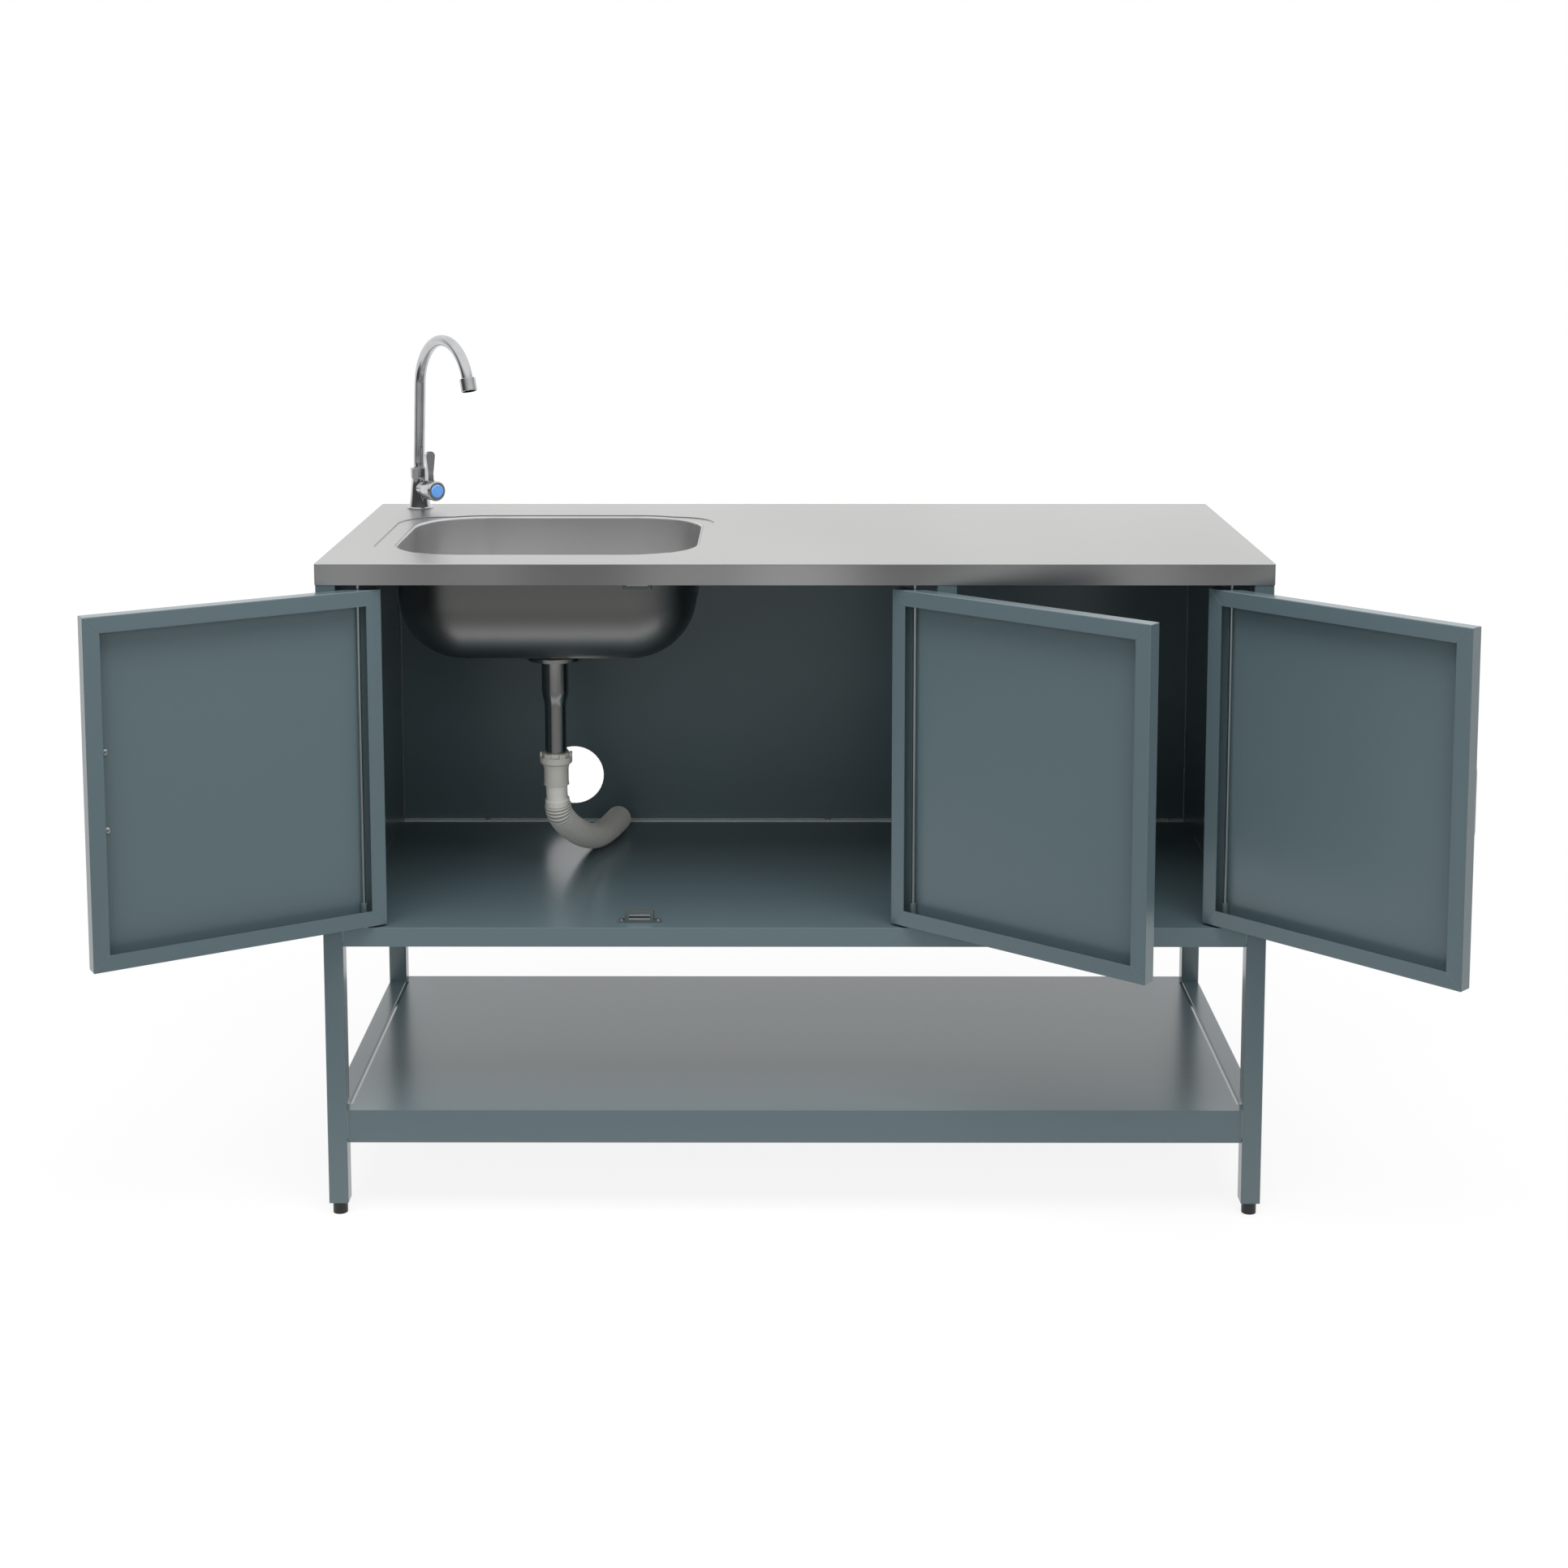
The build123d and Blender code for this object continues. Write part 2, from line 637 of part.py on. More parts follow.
doors = (
    ("left", left_pivot_x, 1, left_door_open, pair_width),
    ("middle", middle_pivot_x, -1, middle_door_open, pair_width),
    ("right", right_pivot_x, -1, right_door_open, right_width),
)
for word, pivot_x, side, open_angle, width in doors:
    base = door_plane(pivot_x, side, open_angle)
    pan_x = width / 2 - pivot_from_edge
    pan_y = side * (door_thickness / 2 - pivot_from_front)
    lip_y = side * (door_thickness - pivot_from_front - panel_sheet / 2)
    with BuildPart() as door_panel:
        with BuildSketch(base):
            with Locations((pan_x, pan_y)):
                Rectangle(width, door_thickness)
        extrude(amount=door_height)
        fillet(door_panel.edges(), door_edge_radius)
        with BuildSketch(base.offset(panel_sheet)):
            with Locations((pan_x, pan_y)):
                Rectangle(width - 2 * panel_sheet, door_thickness - 2 * panel_sheet)
        extrude(amount=door_height - 2 * panel_sheet, mode=Mode.SUBTRACT)
        with BuildSketch(base.offset(door_lip)):
            with Locations((pan_x, lip_y)):
                Rectangle(width - 2 * door_lip, 2 * panel_sheet)
        extrude(amount=door_height - 2 * door_lip, mode=Mode.SUBTRACT)
        with BuildSketch(base):
            Circle(rod_radius + seat_gap)
        extrude(amount=door_height, mode=Mode.SUBTRACT)
        screw_face = Plane(
            base.from_local_coords((handle_from_hinge_edge - pivot_from_edge, 0, door_height / 2)),
            x_dir=(0, 0, 1),
            z_dir=-side * base.y_dir,
        )
        with BuildSketch(screw_face):
            with Locations((-handle_centres / 2, 0), (handle_centres / 2, 0)):
                Circle(handle_screw_radius + seat_gap)
        extrude(amount=pivot_from_front, mode=Mode.SUBTRACT)
    door_panel.part.label = f"door_panel_{word}"
    export_step(door_panel.part, f"parts/door_panel_{word}.step")

    rod_foot = floor_top + bush_flange_height - bush_depth + bush_floor + fit_gap
    with BuildPart() as pivot_rod:
        with BuildSketch(Plane((pivot_x, pivot_y, rod_foot))):
            Circle(rod_radius)
        extrude(amount=rail_bottom + rod_into_rail - rod_foot)
    pivot_rod.part.label = f"pivot_rod_{word}"
    export_step(pivot_rod.part, f"parts/pivot_rod_{word}.step")

    with BuildPart() as pivot_collar:
        with BuildSketch(base.offset(panel_sheet)):
            Circle(collar_radius)
            Circle(rod_radius + seat_gap, mode=Mode.SUBTRACT)
        extrude(amount=collar_height)
    pivot_collar.part.label = f"pivot_collar_{word}"
    export_step(pivot_collar.part, f"parts/pivot_collar_{word}.step")

    handle_side = screw_face.offset(pivot_from_front)
    with BuildPart() as handle:
        outward = handle_side.z_dir
        bow_plane = Plane(handle_side.origin, x_dir=outward, z_dir=outward.cross(Vector(0, 0, 1)))
        with BuildLine(bow_plane) as bow:
            FilletPolyline(
                (0, -handle_centres / 2),
                (handle_reach, -handle_centres / 2),
                (handle_reach, handle_centres / 2),
                (0, handle_centres / 2),
                radius=handle_bend,
            )
        with BuildSketch(Plane(bow.line @ 0, z_dir=bow.line % 0)):
            Circle(handle_radius)
        sweep()
        with BuildSketch(handle_side):
            with Locations((-handle_centres / 2, 0), (handle_centres / 2, 0)):
                Circle(handle_screw_radius + seat_gap)
        extrude(amount=handle_screw_length, mode=Mode.SUBTRACT)
    handle.part.label = f"handle_{word}"
    export_step(handle.part, f"parts/handle_{word}.step")

    screw_seat = handle_side.offset(-panel_sheet)
    with BuildPart() as handle_screws:
        with BuildSketch(screw_seat):
            with Locations((-handle_centres / 2, 0), (handle_centres / 2, 0)):
                Circle(handle_screw_radius)
        extrude(amount=handle_screw_length)
        with BuildSketch(screw_seat):
            with Locations((-handle_centres / 2, 0), (handle_centres / 2, 0)):
                Circle(handle_screw_head_radius)
        extrude(amount=-handle_screw_head)
    handle_screws.part.label = f"handle_screws_{word}"
    export_step(handle_screws.part, f"parts/handle_screws_{word}.step")


# ---------------------------------------------------------------- tap
# The body stands on the worktop on a threaded shank, clamped from below by a washer and a nut. Its side
# branch holds the valve. The spout turns in the body's socket, under a faceted nut.
tap_foot = Plane((tap_x, tap_y, unit_height))
valve_plane = Plane((tap_x, tap_y, unit_height + valve_height), x_dir=tap_side, z_dir=tap_axis)
with BuildPart() as tap_body:
    with BuildSketch(tap_foot):
        Circle(tap_base_radius)
    extrude(amount=tap_base_height)
    fillet(tap_body.edges().group_by(Axis.Z)[-1], tap_base_height / 2)
    with BuildSketch(tap_foot):
        Circle(tap_foot_radius)
    with BuildSketch(tap_foot.offset(tap_body_height / 2)):
        Circle((tap_foot_radius + 2 * tap_waist_radius) / 3)
    with BuildSketch(tap_foot.offset(tap_body_height)):
        Circle(tap_waist_radius)
    loft()
    with BuildSketch(valve_plane):
        Circle(valve_radius)
    extrude(amount=valve_reach)
    with BuildSketch(tap_foot):
        Circle(shank_radius)
    extrude(amount=-shank_length)
    with BuildSketch(tap_foot.offset(-shank_length)):
        Circle(tail_radius)
    extrude(amount=-tail_length)
    with BuildSketch(tap_foot.offset(-shank_length - tail_length)):
        Circle(tap_bore)
    extrude(amount=tail_length + shank_length + tap_body_height - spout_socket, mode=Mode.SUBTRACT)
    with BuildSketch(tap_foot.offset(tap_body_height - spout_socket)):
        Circle(spout_radius + turning_gap)
    extrude(amount=spout_socket, mode=Mode.SUBTRACT)
    with BuildSketch(valve_plane.offset(valve_reach - stem_length)):
        Circle(stem_radius + turning_gap)
    extrude(amount=stem_length, mode=Mode.SUBTRACT)
tap_body.part.label = "tap_body"
export_step(tap_body.part, "parts/tap_body.step")

with BuildPart() as spout_nut:
    with BuildSketch(tap_foot.offset(tap_body_height)):
        RegularPolygon(spout_nut_radius, 8)
        Circle(spout_radius + turning_gap, mode=Mode.SUBTRACT)
    extrude(amount=spout_nut_height)
spout_nut.part.label = "spout_nut"
export_step(spout_nut.part, "parts/spout_nut.step")

washer_top = Plane((tap_x, tap_y, top_underside))
with BuildPart() as tap_washer:
    with BuildSketch(washer_top):
        Circle(tap_washer_radius)
        Circle(shank_radius + seat_gap, mode=Mode.SUBTRACT)
    extrude(amount=-tap_washer_height)
tap_washer.part.label = "tap_washer"
export_step(tap_washer.part, "parts/tap_washer.step")

with BuildPart() as tap_locknut:
    with BuildSketch(washer_top.offset(-tap_washer_height)):
        RegularPolygon(tap_nut_radius, 6)
        Circle(shank_radius + seat_gap, mode=Mode.SUBTRACT)
    extrude(amount=-tap_nut_height)
tap_locknut.part.label = "tap_locknut"
export_step(tap_locknut.part, "parts/tap_locknut.step")

# The spout rises, leans a little towards the bowl, arches over and points down. Its shape is drawn flat
# and then stood in the upright plane that the tap faces.
spout_foot = unit_height + tap_body_height - spout_socket + fit_gap
spout_plane = Plane((tap_x, tap_y, spout_foot), x_dir=tap_axis, z_dir=tap_axis.cross(Vector(0, 0, 1)))
with BuildLine() as spout_shape:
    upright = Line((0, 0), (0, spout_socket + spout_nut_height + spout_upright))
    lean = JernArc(upright @ 1, upright % 1, spout_lean_radius, -spout_lean)
    slope = Line(lean @ 1, lean @ 1 + (lean % 1) * spout_slope_length)
    arch = JernArc(slope @ 1, slope % 1, spout_arch_radius, spout_lean - spout_arch_end)
    tip = Line(arch @ 1, arch @ 1 + (arch % 1) * spout_tip)
spout_path = spout_plane.location * spout_shape.wire()
with BuildPart() as spout_tube:
    with BuildSketch(Plane(spout_path @ 0, z_dir=spout_path % 0)):
        Circle(spout_radius)
        Circle(spout_radius - spout_wall, mode=Mode.SUBTRACT)
    sweep(path=spout_path)
spout_tube.part.label = "spout_tube"
export_step(spout_tube.part, "parts/spout_tube.step")

spout_end = Plane(spout_path @ 1, z_dir=spout_path % 1)
with BuildPart() as aerator:
    with BuildSketch(spout_end.offset(-aerator_overlap)):
        Circle(aerator_radius)
    extrude(amount=aerator_length)
    chamfer(aerator.edges(), aerator_wall / 3)
    with BuildSketch(spout_end.offset(-aerator_overlap)):
        Circle(spout_radius + seat_gap)
    extrude(amount=aerator_overlap, mode=Mode.SUBTRACT)
    with BuildSketch(spout_end.offset(aerator_wall)):
        Circle(aerator_radius - aerator_wall)
    extrude(amount=aerator_length, mode=Mode.SUBTRACT)
    with BuildSketch(spout_end):
        with PolarLocations(spout_radius / 2, aerator_holes):
            Circle(aerator_wall / 2)
    extrude(amount=aerator_wall, mode=Mode.SUBTRACT)
aerator.part.label = "aerator"
export_step(aerator.part, "parts/aerator.step")

# The tap handle: a round hub on the valve stem, with an upright lever and a recessed index cap.
hub_start = valve_reach + fit_gap
hub_axis = Axis(valve_plane.origin, tap_axis)
lever_back = hub_start + lever_centre - lever_thickness / 2
with BuildPart() as tap_lever:
    with BuildSketch(valve_plane.offset(hub_start)):
        Circle(hub_neck_radius)
    with BuildSketch(valve_plane.offset(hub_start + hub_neck_length)):
        Circle(hub_radius)
    loft()
    with BuildSketch(valve_plane.offset(hub_start + hub_neck_length)):
        Circle(hub_radius)
    extrude(amount=hub_length - hub_neck_length)
    chamfer(tap_lever.faces().sort_by(hub_axis)[-1].edges(), cap_height)
    with BuildSketch(valve_plane.offset(lever_back)):
        with BuildLine():
            blade_top = ThreePointArc(
                (-lever_tip_radius, lever_height - lever_tip_radius),
                (0, lever_height),
                (lever_tip_radius, lever_height - lever_tip_radius),
            )
            Polyline(
                blade_top @ 1,
                (lever_neck / 2, hub_radius + lever_neck),
                (lever_root / 2, 0),
                (-lever_root / 2, 0),
                (-lever_neck / 2, hub_radius + lever_neck),
                blade_top @ 0,
            )
        make_face()
    extrude(amount=lever_thickness)
    with BuildSketch(valve_plane.offset(hub_start + hub_length - cap_height)):
        Circle(cap_radius + seat_gap)
    extrude(amount=cap_height, mode=Mode.SUBTRACT)
    with BuildSketch(valve_plane.offset(hub_start)):
        Circle(stem_radius)
    extrude(amount=-(stem_length - fit_gap))
tap_lever.part.label = "tap_lever"
export_step(tap_lever.part, "parts/tap_lever.step")

with BuildPart() as index_cap:
    with BuildSketch(valve_plane.offset(hub_start + hub_length - cap_height)):
        Circle(cap_radius)
    extrude(amount=2 * cap_height)
    fillet(index_cap.faces().sort_by(hub_axis)[-1].edges(), cap_edge_radius)
index_cap.part.label = "index_cap"
export_step(index_cap.part, "parts/index_cap.step")


# ---------------------------------------------------------------- waste
# The waste is a flanged cup with a perforated floor, clamped through the bowl by a gasket and a nut. The
# steel tube hangs from it and narrows to the pipe that enters the coupling.
waste_plane = Plane((waste_x, waste_y, 0), x_dir=(1, 0, 0), z_dir=(0, -1, 0))
waste_axis = Axis((waste_x, waste_y, 0), (0, 0, 1))
cup_floor = bowl_floor - waste_cup_depth
with BuildPart() as sink_waste:
    with BuildSketch(waste_plane):
        with BuildLine():
            Polyline(
                (0, cup_floor),
                (waste_cup_radius, cup_floor),
                (waste_cup_radius, bowl_floor),
                (waste_flange_radius, bowl_floor),
                (waste_flange_radius - waste_sheet, bowl_floor + waste_sheet),
                (waste_cup_radius - waste_sheet, bowl_floor + waste_sheet),
                (waste_cup_radius - waste_sheet, cup_floor + waste_sheet),
                (0, cup_floor + waste_sheet),
                close=True,
            )
        make_face()
    revolve(axis=waste_axis)
    grid_radius = waste_tube_radius - waste_tube_wall - grid_hole_radius - waste_sheet
    with BuildSketch(Plane((waste_x, waste_y, cup_floor))):
        Circle(grid_hole_radius)
        with PolarLocations(grid_radius, grid_holes):
            Circle(grid_hole_radius)
    extrude(amount=waste_sheet, mode=Mode.SUBTRACT)
sink_waste.part.label = "sink_waste"
export_step(sink_waste.part, "parts/sink_waste.step")

bowl_underside = bowl_floor - bowl_sheet
with BuildPart() as waste_gasket:
    with BuildSketch(Plane((waste_x, waste_y, bowl_underside))):
        Circle(waste_gasket_radius)
        Circle(waste_cup_radius + seat_gap, mode=Mode.SUBTRACT)
    extrude(amount=-waste_gasket_height)
waste_gasket.part.label = "waste_gasket"
export_step(waste_gasket.part, "parts/waste_gasket.step")

with BuildPart() as waste_locknut:
    with BuildSketch(Plane((waste_x, waste_y, bowl_underside - waste_gasket_height))):
        RegularPolygon(waste_nut_radius, 12)
        Circle(waste_cup_radius + seat_gap, mode=Mode.SUBTRACT)
    extrude(amount=-waste_nut_height)
waste_locknut.part.label = "waste_locknut"
export_step(waste_locknut.part, "parts/waste_locknut.step")

waste_tube_step = cup_floor - waste_tube_straight
sleeve_bottom = floor_top + sleeve_above_floor
sleeve_top = sleeve_bottom + sleeve_height
pipe_end = sleeve_top - pipe_into_sleeve
with BuildPart() as waste_tube:
    with BuildSketch(waste_plane):
        with BuildLine():
            Polyline(
                (waste_tube_radius - waste_tube_wall, cup_floor),
                (waste_tube_radius, cup_floor),
                (waste_tube_radius, waste_tube_step),
                (waste_pipe_radius, waste_tube_step - waste_tube_neck),
                (waste_pipe_radius, pipe_end),
                (waste_pipe_radius - waste_tube_wall, pipe_end),
                (waste_pipe_radius - waste_tube_wall, waste_tube_step - waste_tube_neck),
                (waste_tube_radius - waste_tube_wall, waste_tube_step),
                close=True,
            )
        make_face()
    revolve(axis=waste_axis)
waste_tube.part.label = "waste_tube"
export_step(waste_tube.part, "parts/waste_tube.step")


# ---------------------------------------------------------------- coupling
# A nut squeezes a seal onto the pipe, above a sleeve that takes the pipe from above and the hose's cuff
# from below, on either side of an inner web.
seal_bottom = sleeve_top + panel_sheet
with BuildPart() as coupling_nut:
    with BuildSketch(waste_plane):
        with BuildLine():
            Polyline(
                (waste_pipe_radius + seat_gap, sleeve_top),
                (coupling_nut_radius - coupling_nut_taper, sleeve_top),
                (coupling_nut_radius, sleeve_top + coupling_nut_taper),
                (coupling_nut_radius, sleeve_top + coupling_nut_height),
                (waste_pipe_radius + seat_gap, sleeve_top + coupling_nut_height),
                close=True,
            )
        make_face()
        seal_middle_x = waste_pipe_radius + seat_gap + coupling_seal_width / 2
        with Locations((seal_middle_x, seal_bottom + coupling_seal_height / 2)):
            Rectangle(coupling_seal_width, coupling_seal_height, mode=Mode.SUBTRACT)
    revolve(axis=waste_axis)
coupling_nut.part.label = "coupling_nut"
export_step(coupling_nut.part, "parts/coupling_nut.step")

with BuildPart() as coupling_seal:
    with BuildSketch(Plane((waste_x, waste_y, seal_bottom + seat_gap))):
        Circle(waste_pipe_radius + coupling_seal_width)
        Circle(waste_pipe_radius + seat_gap, mode=Mode.SUBTRACT)
    extrude(amount=coupling_seal_height - 2 * seat_gap)
coupling_seal.part.label = "coupling_seal"
export_step(coupling_seal.part, "parts/coupling_seal.step")

web_bottom = pipe_end - sleeve_web
with BuildPart() as coupling_sleeve:
    with BuildSketch(Plane((waste_x, waste_y, sleeve_bottom))):
        Circle(sleeve_radius)
    extrude(amount=sleeve_height)
    with BuildSketch(Plane((waste_x, waste_y, sleeve_bottom))):
        Circle(hose_cuff_radius + seat_gap)
    extrude(amount=web_bottom - sleeve_bottom, mode=Mode.SUBTRACT)
    with BuildSketch(Plane((waste_x, waste_y, pipe_end))):
        Circle(waste_pipe_radius + seat_gap)
    extrude(amount=sleeve_top - pipe_end, mode=Mode.SUBTRACT)
    with BuildSketch(Plane((waste_x, waste_y, web_bottom))):
        Circle(hose_cuff_bore)
    extrude(amount=sleeve_web, mode=Mode.SUBTRACT)
coupling_sleeve.part.label = "coupling_sleeve"
export_step(coupling_sleeve.part, "parts/coupling_sleeve.step")


# ---------------------------------------------------------------- ribbed drain hose
# The hose hangs from the sleeve on a plain cuff, bends back and to the right, and lies on the cupboard
# floor with its end open. Its outside is a loft through four circles to each rib.
hose_lie = floor_top + hose_radius
hose_points = [
    Vector(waste_x, waste_y, web_bottom),
    Vector(waste_x, waste_y, hose_lie + 73.5),
    Vector(waste_x + 7, waste_y + 19, hose_lie + 52.5),
    Vector(waste_x + 18, waste_y + 49, hose_lie + 30.5),
    Vector(waste_x + 31, waste_y + 84, hose_lie + 12),
    Vector(waste_x + 44, waste_y + 120, hose_lie),
    Vector(waste_x + 59, waste_y + 159, hose_lie),
    Vector(waste_x + 69, waste_y + 214, hose_lie),
]
hose_runs = [end - start for start, end in zip(hose_points, hose_points[1:])]
hose_radii = []
for number, (before, after) in enumerate(zip(hose_runs, hose_runs[1:])):
    reach = hose_bend_share * min(before.length, after.length)
    if number == 0:
        reach = min(reach, before.length - 2 * hose_radius)
    if number == len(hose_runs) - 2:
        reach = min(reach, after.length - 2 * hose_radius)
    hose_radii.append(reach / tan(radians(before.get_angle(after) / 2)))
with BuildLine() as hose_line:
    FilletPolyline(*hose_points, radius=hose_radii)
hose_path = hose_line.wire()
hose_across = (hose_points[-1] - hose_points[0]).cross(Vector(0, 0, 1))


def hose_plane(distance):
    """The plane across the hose at a distance along it, with a steady X axis."""
    share = distance / hose_path.length
    return Plane(hose_path @ share, x_dir=hose_across, z_dir=hose_path % share)


ring_start = hose_cuff_length
rib_start = ring_start + hose_ring_length + hose_step
rib_count = int((hose_path.length - rib_start) / hose_rib_pitch)
rib_pitch = (hose_path.length - rib_start) / rib_count
hose_valley = hose_radius - hose_rib_depth
hose_circles = [
    (0, hose_cuff_radius),
    (ring_start, hose_cuff_radius),
    (ring_start + hose_step, hose_ring_radius),
    (rib_start - hose_step, hose_ring_radius),
]
for rib in range(rib_count):
    rib_base = rib_start + rib * rib_pitch
    hose_circles += [
        (rib_base, hose_valley),
        (rib_base + rib_pitch * rib_foot, hose_valley),
        (rib_base + rib_pitch * rib_crown, hose_radius),
        (rib_base + rib_pitch * rib_crown_end, hose_radius),
    ]
hose_circles.append((hose_path.length, hose_valley))

bore_circles = [(0, hose_cuff_bore), (ring_start, hose_cuff_bore), (rib_start, hose_bore)]
bore_steps = int((hose_path.length - rib_start) / hose_radius)
for step in range(bore_steps):
    bore_circles.append((rib_start + (step + 1) * (hose_path.length - rib_start) / bore_steps, hose_bore))

with BuildPart() as hose_hollow:
    for distance, radius in bore_circles:
        with BuildSketch(hose_plane(distance)):
            Circle(radius)
    loft(ruled=True)

with BuildPart() as drain_hose:
    for distance, radius in hose_circles:
        with BuildSketch(hose_plane(distance)):
            Circle(radius)
    loft(ruled=True)
    add(hose_hollow.part, mode=Mode.SUBTRACT)
drain_hose.part.label = "drain_hose"
export_step(drain_hose.part, "parts/drain_hose.step")

mean_radius = (hose_radius + hose_valley) / 2
plain_volume = pi * (mean_radius**2 - hose_bore**2) * (hose_path.length - rib_start)
plain_volume += pi * (hose_cuff_radius**2 - hose_cuff_bore**2) * rib_start
print("hose radii", [round(radius, 1) for radius in hose_radii])
print("hose length", round(hose_path.length, 1), "ribs", rib_count)
print("hose volume", round(drain_hose.part.volume), "section times length", round(plain_volume))
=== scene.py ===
import bpy
import bmesh
from math import cos, pi, radians, sin
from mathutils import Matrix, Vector


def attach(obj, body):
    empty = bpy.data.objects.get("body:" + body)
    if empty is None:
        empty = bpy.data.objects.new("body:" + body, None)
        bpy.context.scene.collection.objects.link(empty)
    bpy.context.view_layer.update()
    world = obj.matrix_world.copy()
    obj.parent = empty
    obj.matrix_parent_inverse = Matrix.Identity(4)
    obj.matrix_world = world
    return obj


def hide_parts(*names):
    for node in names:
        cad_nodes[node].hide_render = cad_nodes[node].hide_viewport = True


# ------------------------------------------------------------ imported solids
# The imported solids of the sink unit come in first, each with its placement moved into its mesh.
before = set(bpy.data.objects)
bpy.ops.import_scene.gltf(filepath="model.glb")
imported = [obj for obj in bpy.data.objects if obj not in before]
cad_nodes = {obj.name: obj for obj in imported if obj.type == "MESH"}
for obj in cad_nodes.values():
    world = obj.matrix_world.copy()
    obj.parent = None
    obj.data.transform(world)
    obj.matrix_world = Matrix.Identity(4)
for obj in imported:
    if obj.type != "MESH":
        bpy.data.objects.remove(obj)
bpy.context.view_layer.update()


# ------------------------------------------------------------ camera
# The photograph was taken about 3.3 m in front of the unit's middle, from chest height, looking a little
# down. A shifted lens keeps the uprights nearly parallel.
camera_place = (-0.005716, -3.26402, 1.36329)
camera_dip = 6.775
camera_roll = 0.018
camera_turn = 0.139
camera_data = bpy.data.cameras.new("camera")
camera_data.sensor_width = 36.0
camera_data.lens = 56.084
camera_data.shift_y = -0.21985
camera_data.clip_end = 60.0
camera = bpy.data.objects.new("camera", camera_data)
camera.location = camera_place
camera.rotation_euler = (radians(90 - camera_dip), radians(camera_roll), radians(camera_turn))
bpy.context.scene.collection.objects.link(camera)
bpy.context.scene.camera = camera
bpy.context.scene.view_settings.view_transform = "Standard"


# ------------------------------------------------------------ studio floor and light
# Pale floor paper runs out to a white surround, under three large soft lamps: above, in front and behind.
# Bare metal doesn't show the lamps. It shows light from above and behind, and a dark room in front.
def hex_colour(text):
    """An sRGB hex colour as linear red, green, blue and a full alpha."""
    channels = [int(text[place:place + 2], 16) / 255 for place in (0, 2, 4)]
    linear = [value / 12.92 if value <= 0.04045 else ((value + 0.055) / 1.055) ** 2.4 for value in channels]
    return (*linear, 1.0)


def add_node(tree, kind, links=(), **settings):
    """Adds a node. Each link is (input, value or output socket); the settings are the node's own."""
    node = tree.nodes.new(kind)
    for name, value in settings.items():
        setattr(node, name, value)
    for key, value in links:
        if isinstance(value, bpy.types.NodeSocket):
            tree.links.new(value, node.inputs[key])
        else:
            node.inputs[key].default_value = value
    return node


def new_material(name):
    """An empty material with its node tree and its output node."""
    material = bpy.data.materials.new(name)
    material.use_nodes = True
    material.node_tree.nodes.clear()
    output = material.node_tree.nodes.new("ShaderNodeOutputMaterial")
    return material, material.node_tree, output


def new_piece(name, mesh):
    """An object at the origin that holds a mesh, linked into the scene."""
    piece = bpy.data.objects.new(name, mesh)
    bpy.context.scene.collection.objects.link(piece)
    return piece


def sort_rays(tree):
    """Two sockets: 1 for a ray from the camera, and 1 for a ray that metal or glass has sent on."""
    path = add_node(tree, "ShaderNodeLightPath")
    sent_on = add_node(tree, "ShaderNodeMath", [
        (0, path.outputs["Is Glossy Ray"]),
        (1, path.outputs["Is Transmission Ray"]),
    ], operation="MAXIMUM")
    return path.outputs["Is Camera Ray"], sent_on.outputs[0]


# The floor glows towards the camera, a little less near the unit, where its shadows have to show. Metal
# sees it bright under the unit, dark in front of it and half bright far in front.
floor_reach = 14
floor_glow = 1.04
white_light = (1, 1, 1, 1)
floor_paper, tree, output = new_material("floor_paper")
from_camera, from_metal = sort_rays(tree)
place = add_node(tree, "ShaderNodeTexCoord")
axes = add_node(tree, "ShaderNodeSeparateXYZ", [(0, place.outputs["Object"])])
distance = add_node(tree, "ShaderNodeVectorMath", [(0, place.outputs["Object"])], operation="LENGTH")
far_share = add_node(tree, "ShaderNodeMapRange", [
    ("Value", distance.outputs["Value"]),
    ("From Min", 1.0),
    ("From Max", 4.0),
    ("To Min", 0.84),
    ("To Max", 1.0),
], interpolation_type="SMOOTHSTEP")
far_front = add_node(tree, "ShaderNodeMapRange", [
    ("Value", axes.outputs["Y"]),
    ("From Min", -4.5),
    ("From Max", -1.6),
    ("To Min", 0.48),
    ("To Max", 0.06),
], interpolation_type="SMOOTHSTEP")
under_unit = add_node(tree, "ShaderNodeMapRange", [
    ("Value", axes.outputs["Y"]),
    ("From Min", -1.0),
    ("From Max", -0.2),
], interpolation_type="SMOOTHSTEP")
metal_level = add_node(tree, "ShaderNodeMix", [
    ("Factor", under_unit.outputs[0]),
    ("A", far_front.outputs[0]),
    ("B", 1.0),
])
strength = add_node(tree, "ShaderNodeMix", [
    ("Factor", from_metal),
    ("A", floor_glow),
    ("B", metal_level.outputs[0]),
])
seen = add_node(tree, "ShaderNodeMath", [(0, from_camera), (1, from_metal)], operation="MAXIMUM")
share = add_node(tree, "ShaderNodeMath", [(0, seen.outputs[0]), (1, far_share.outputs[0])],
                 operation="MULTIPLY")
paper = add_node(tree, "ShaderNodeBsdfDiffuse", [("Color", hex_colour("F2F2F1"))])
glow = add_node(tree, "ShaderNodeEmission", [("Color", white_light), ("Strength", strength.outputs[0])])
mixed = add_node(tree, "ShaderNodeMixShader", [
    (0, share.outputs[0]),
    (1, paper.outputs[0]),
    (2, glow.outputs[0]),
])
tree.links.new(mixed.outputs[0], output.inputs["Surface"])

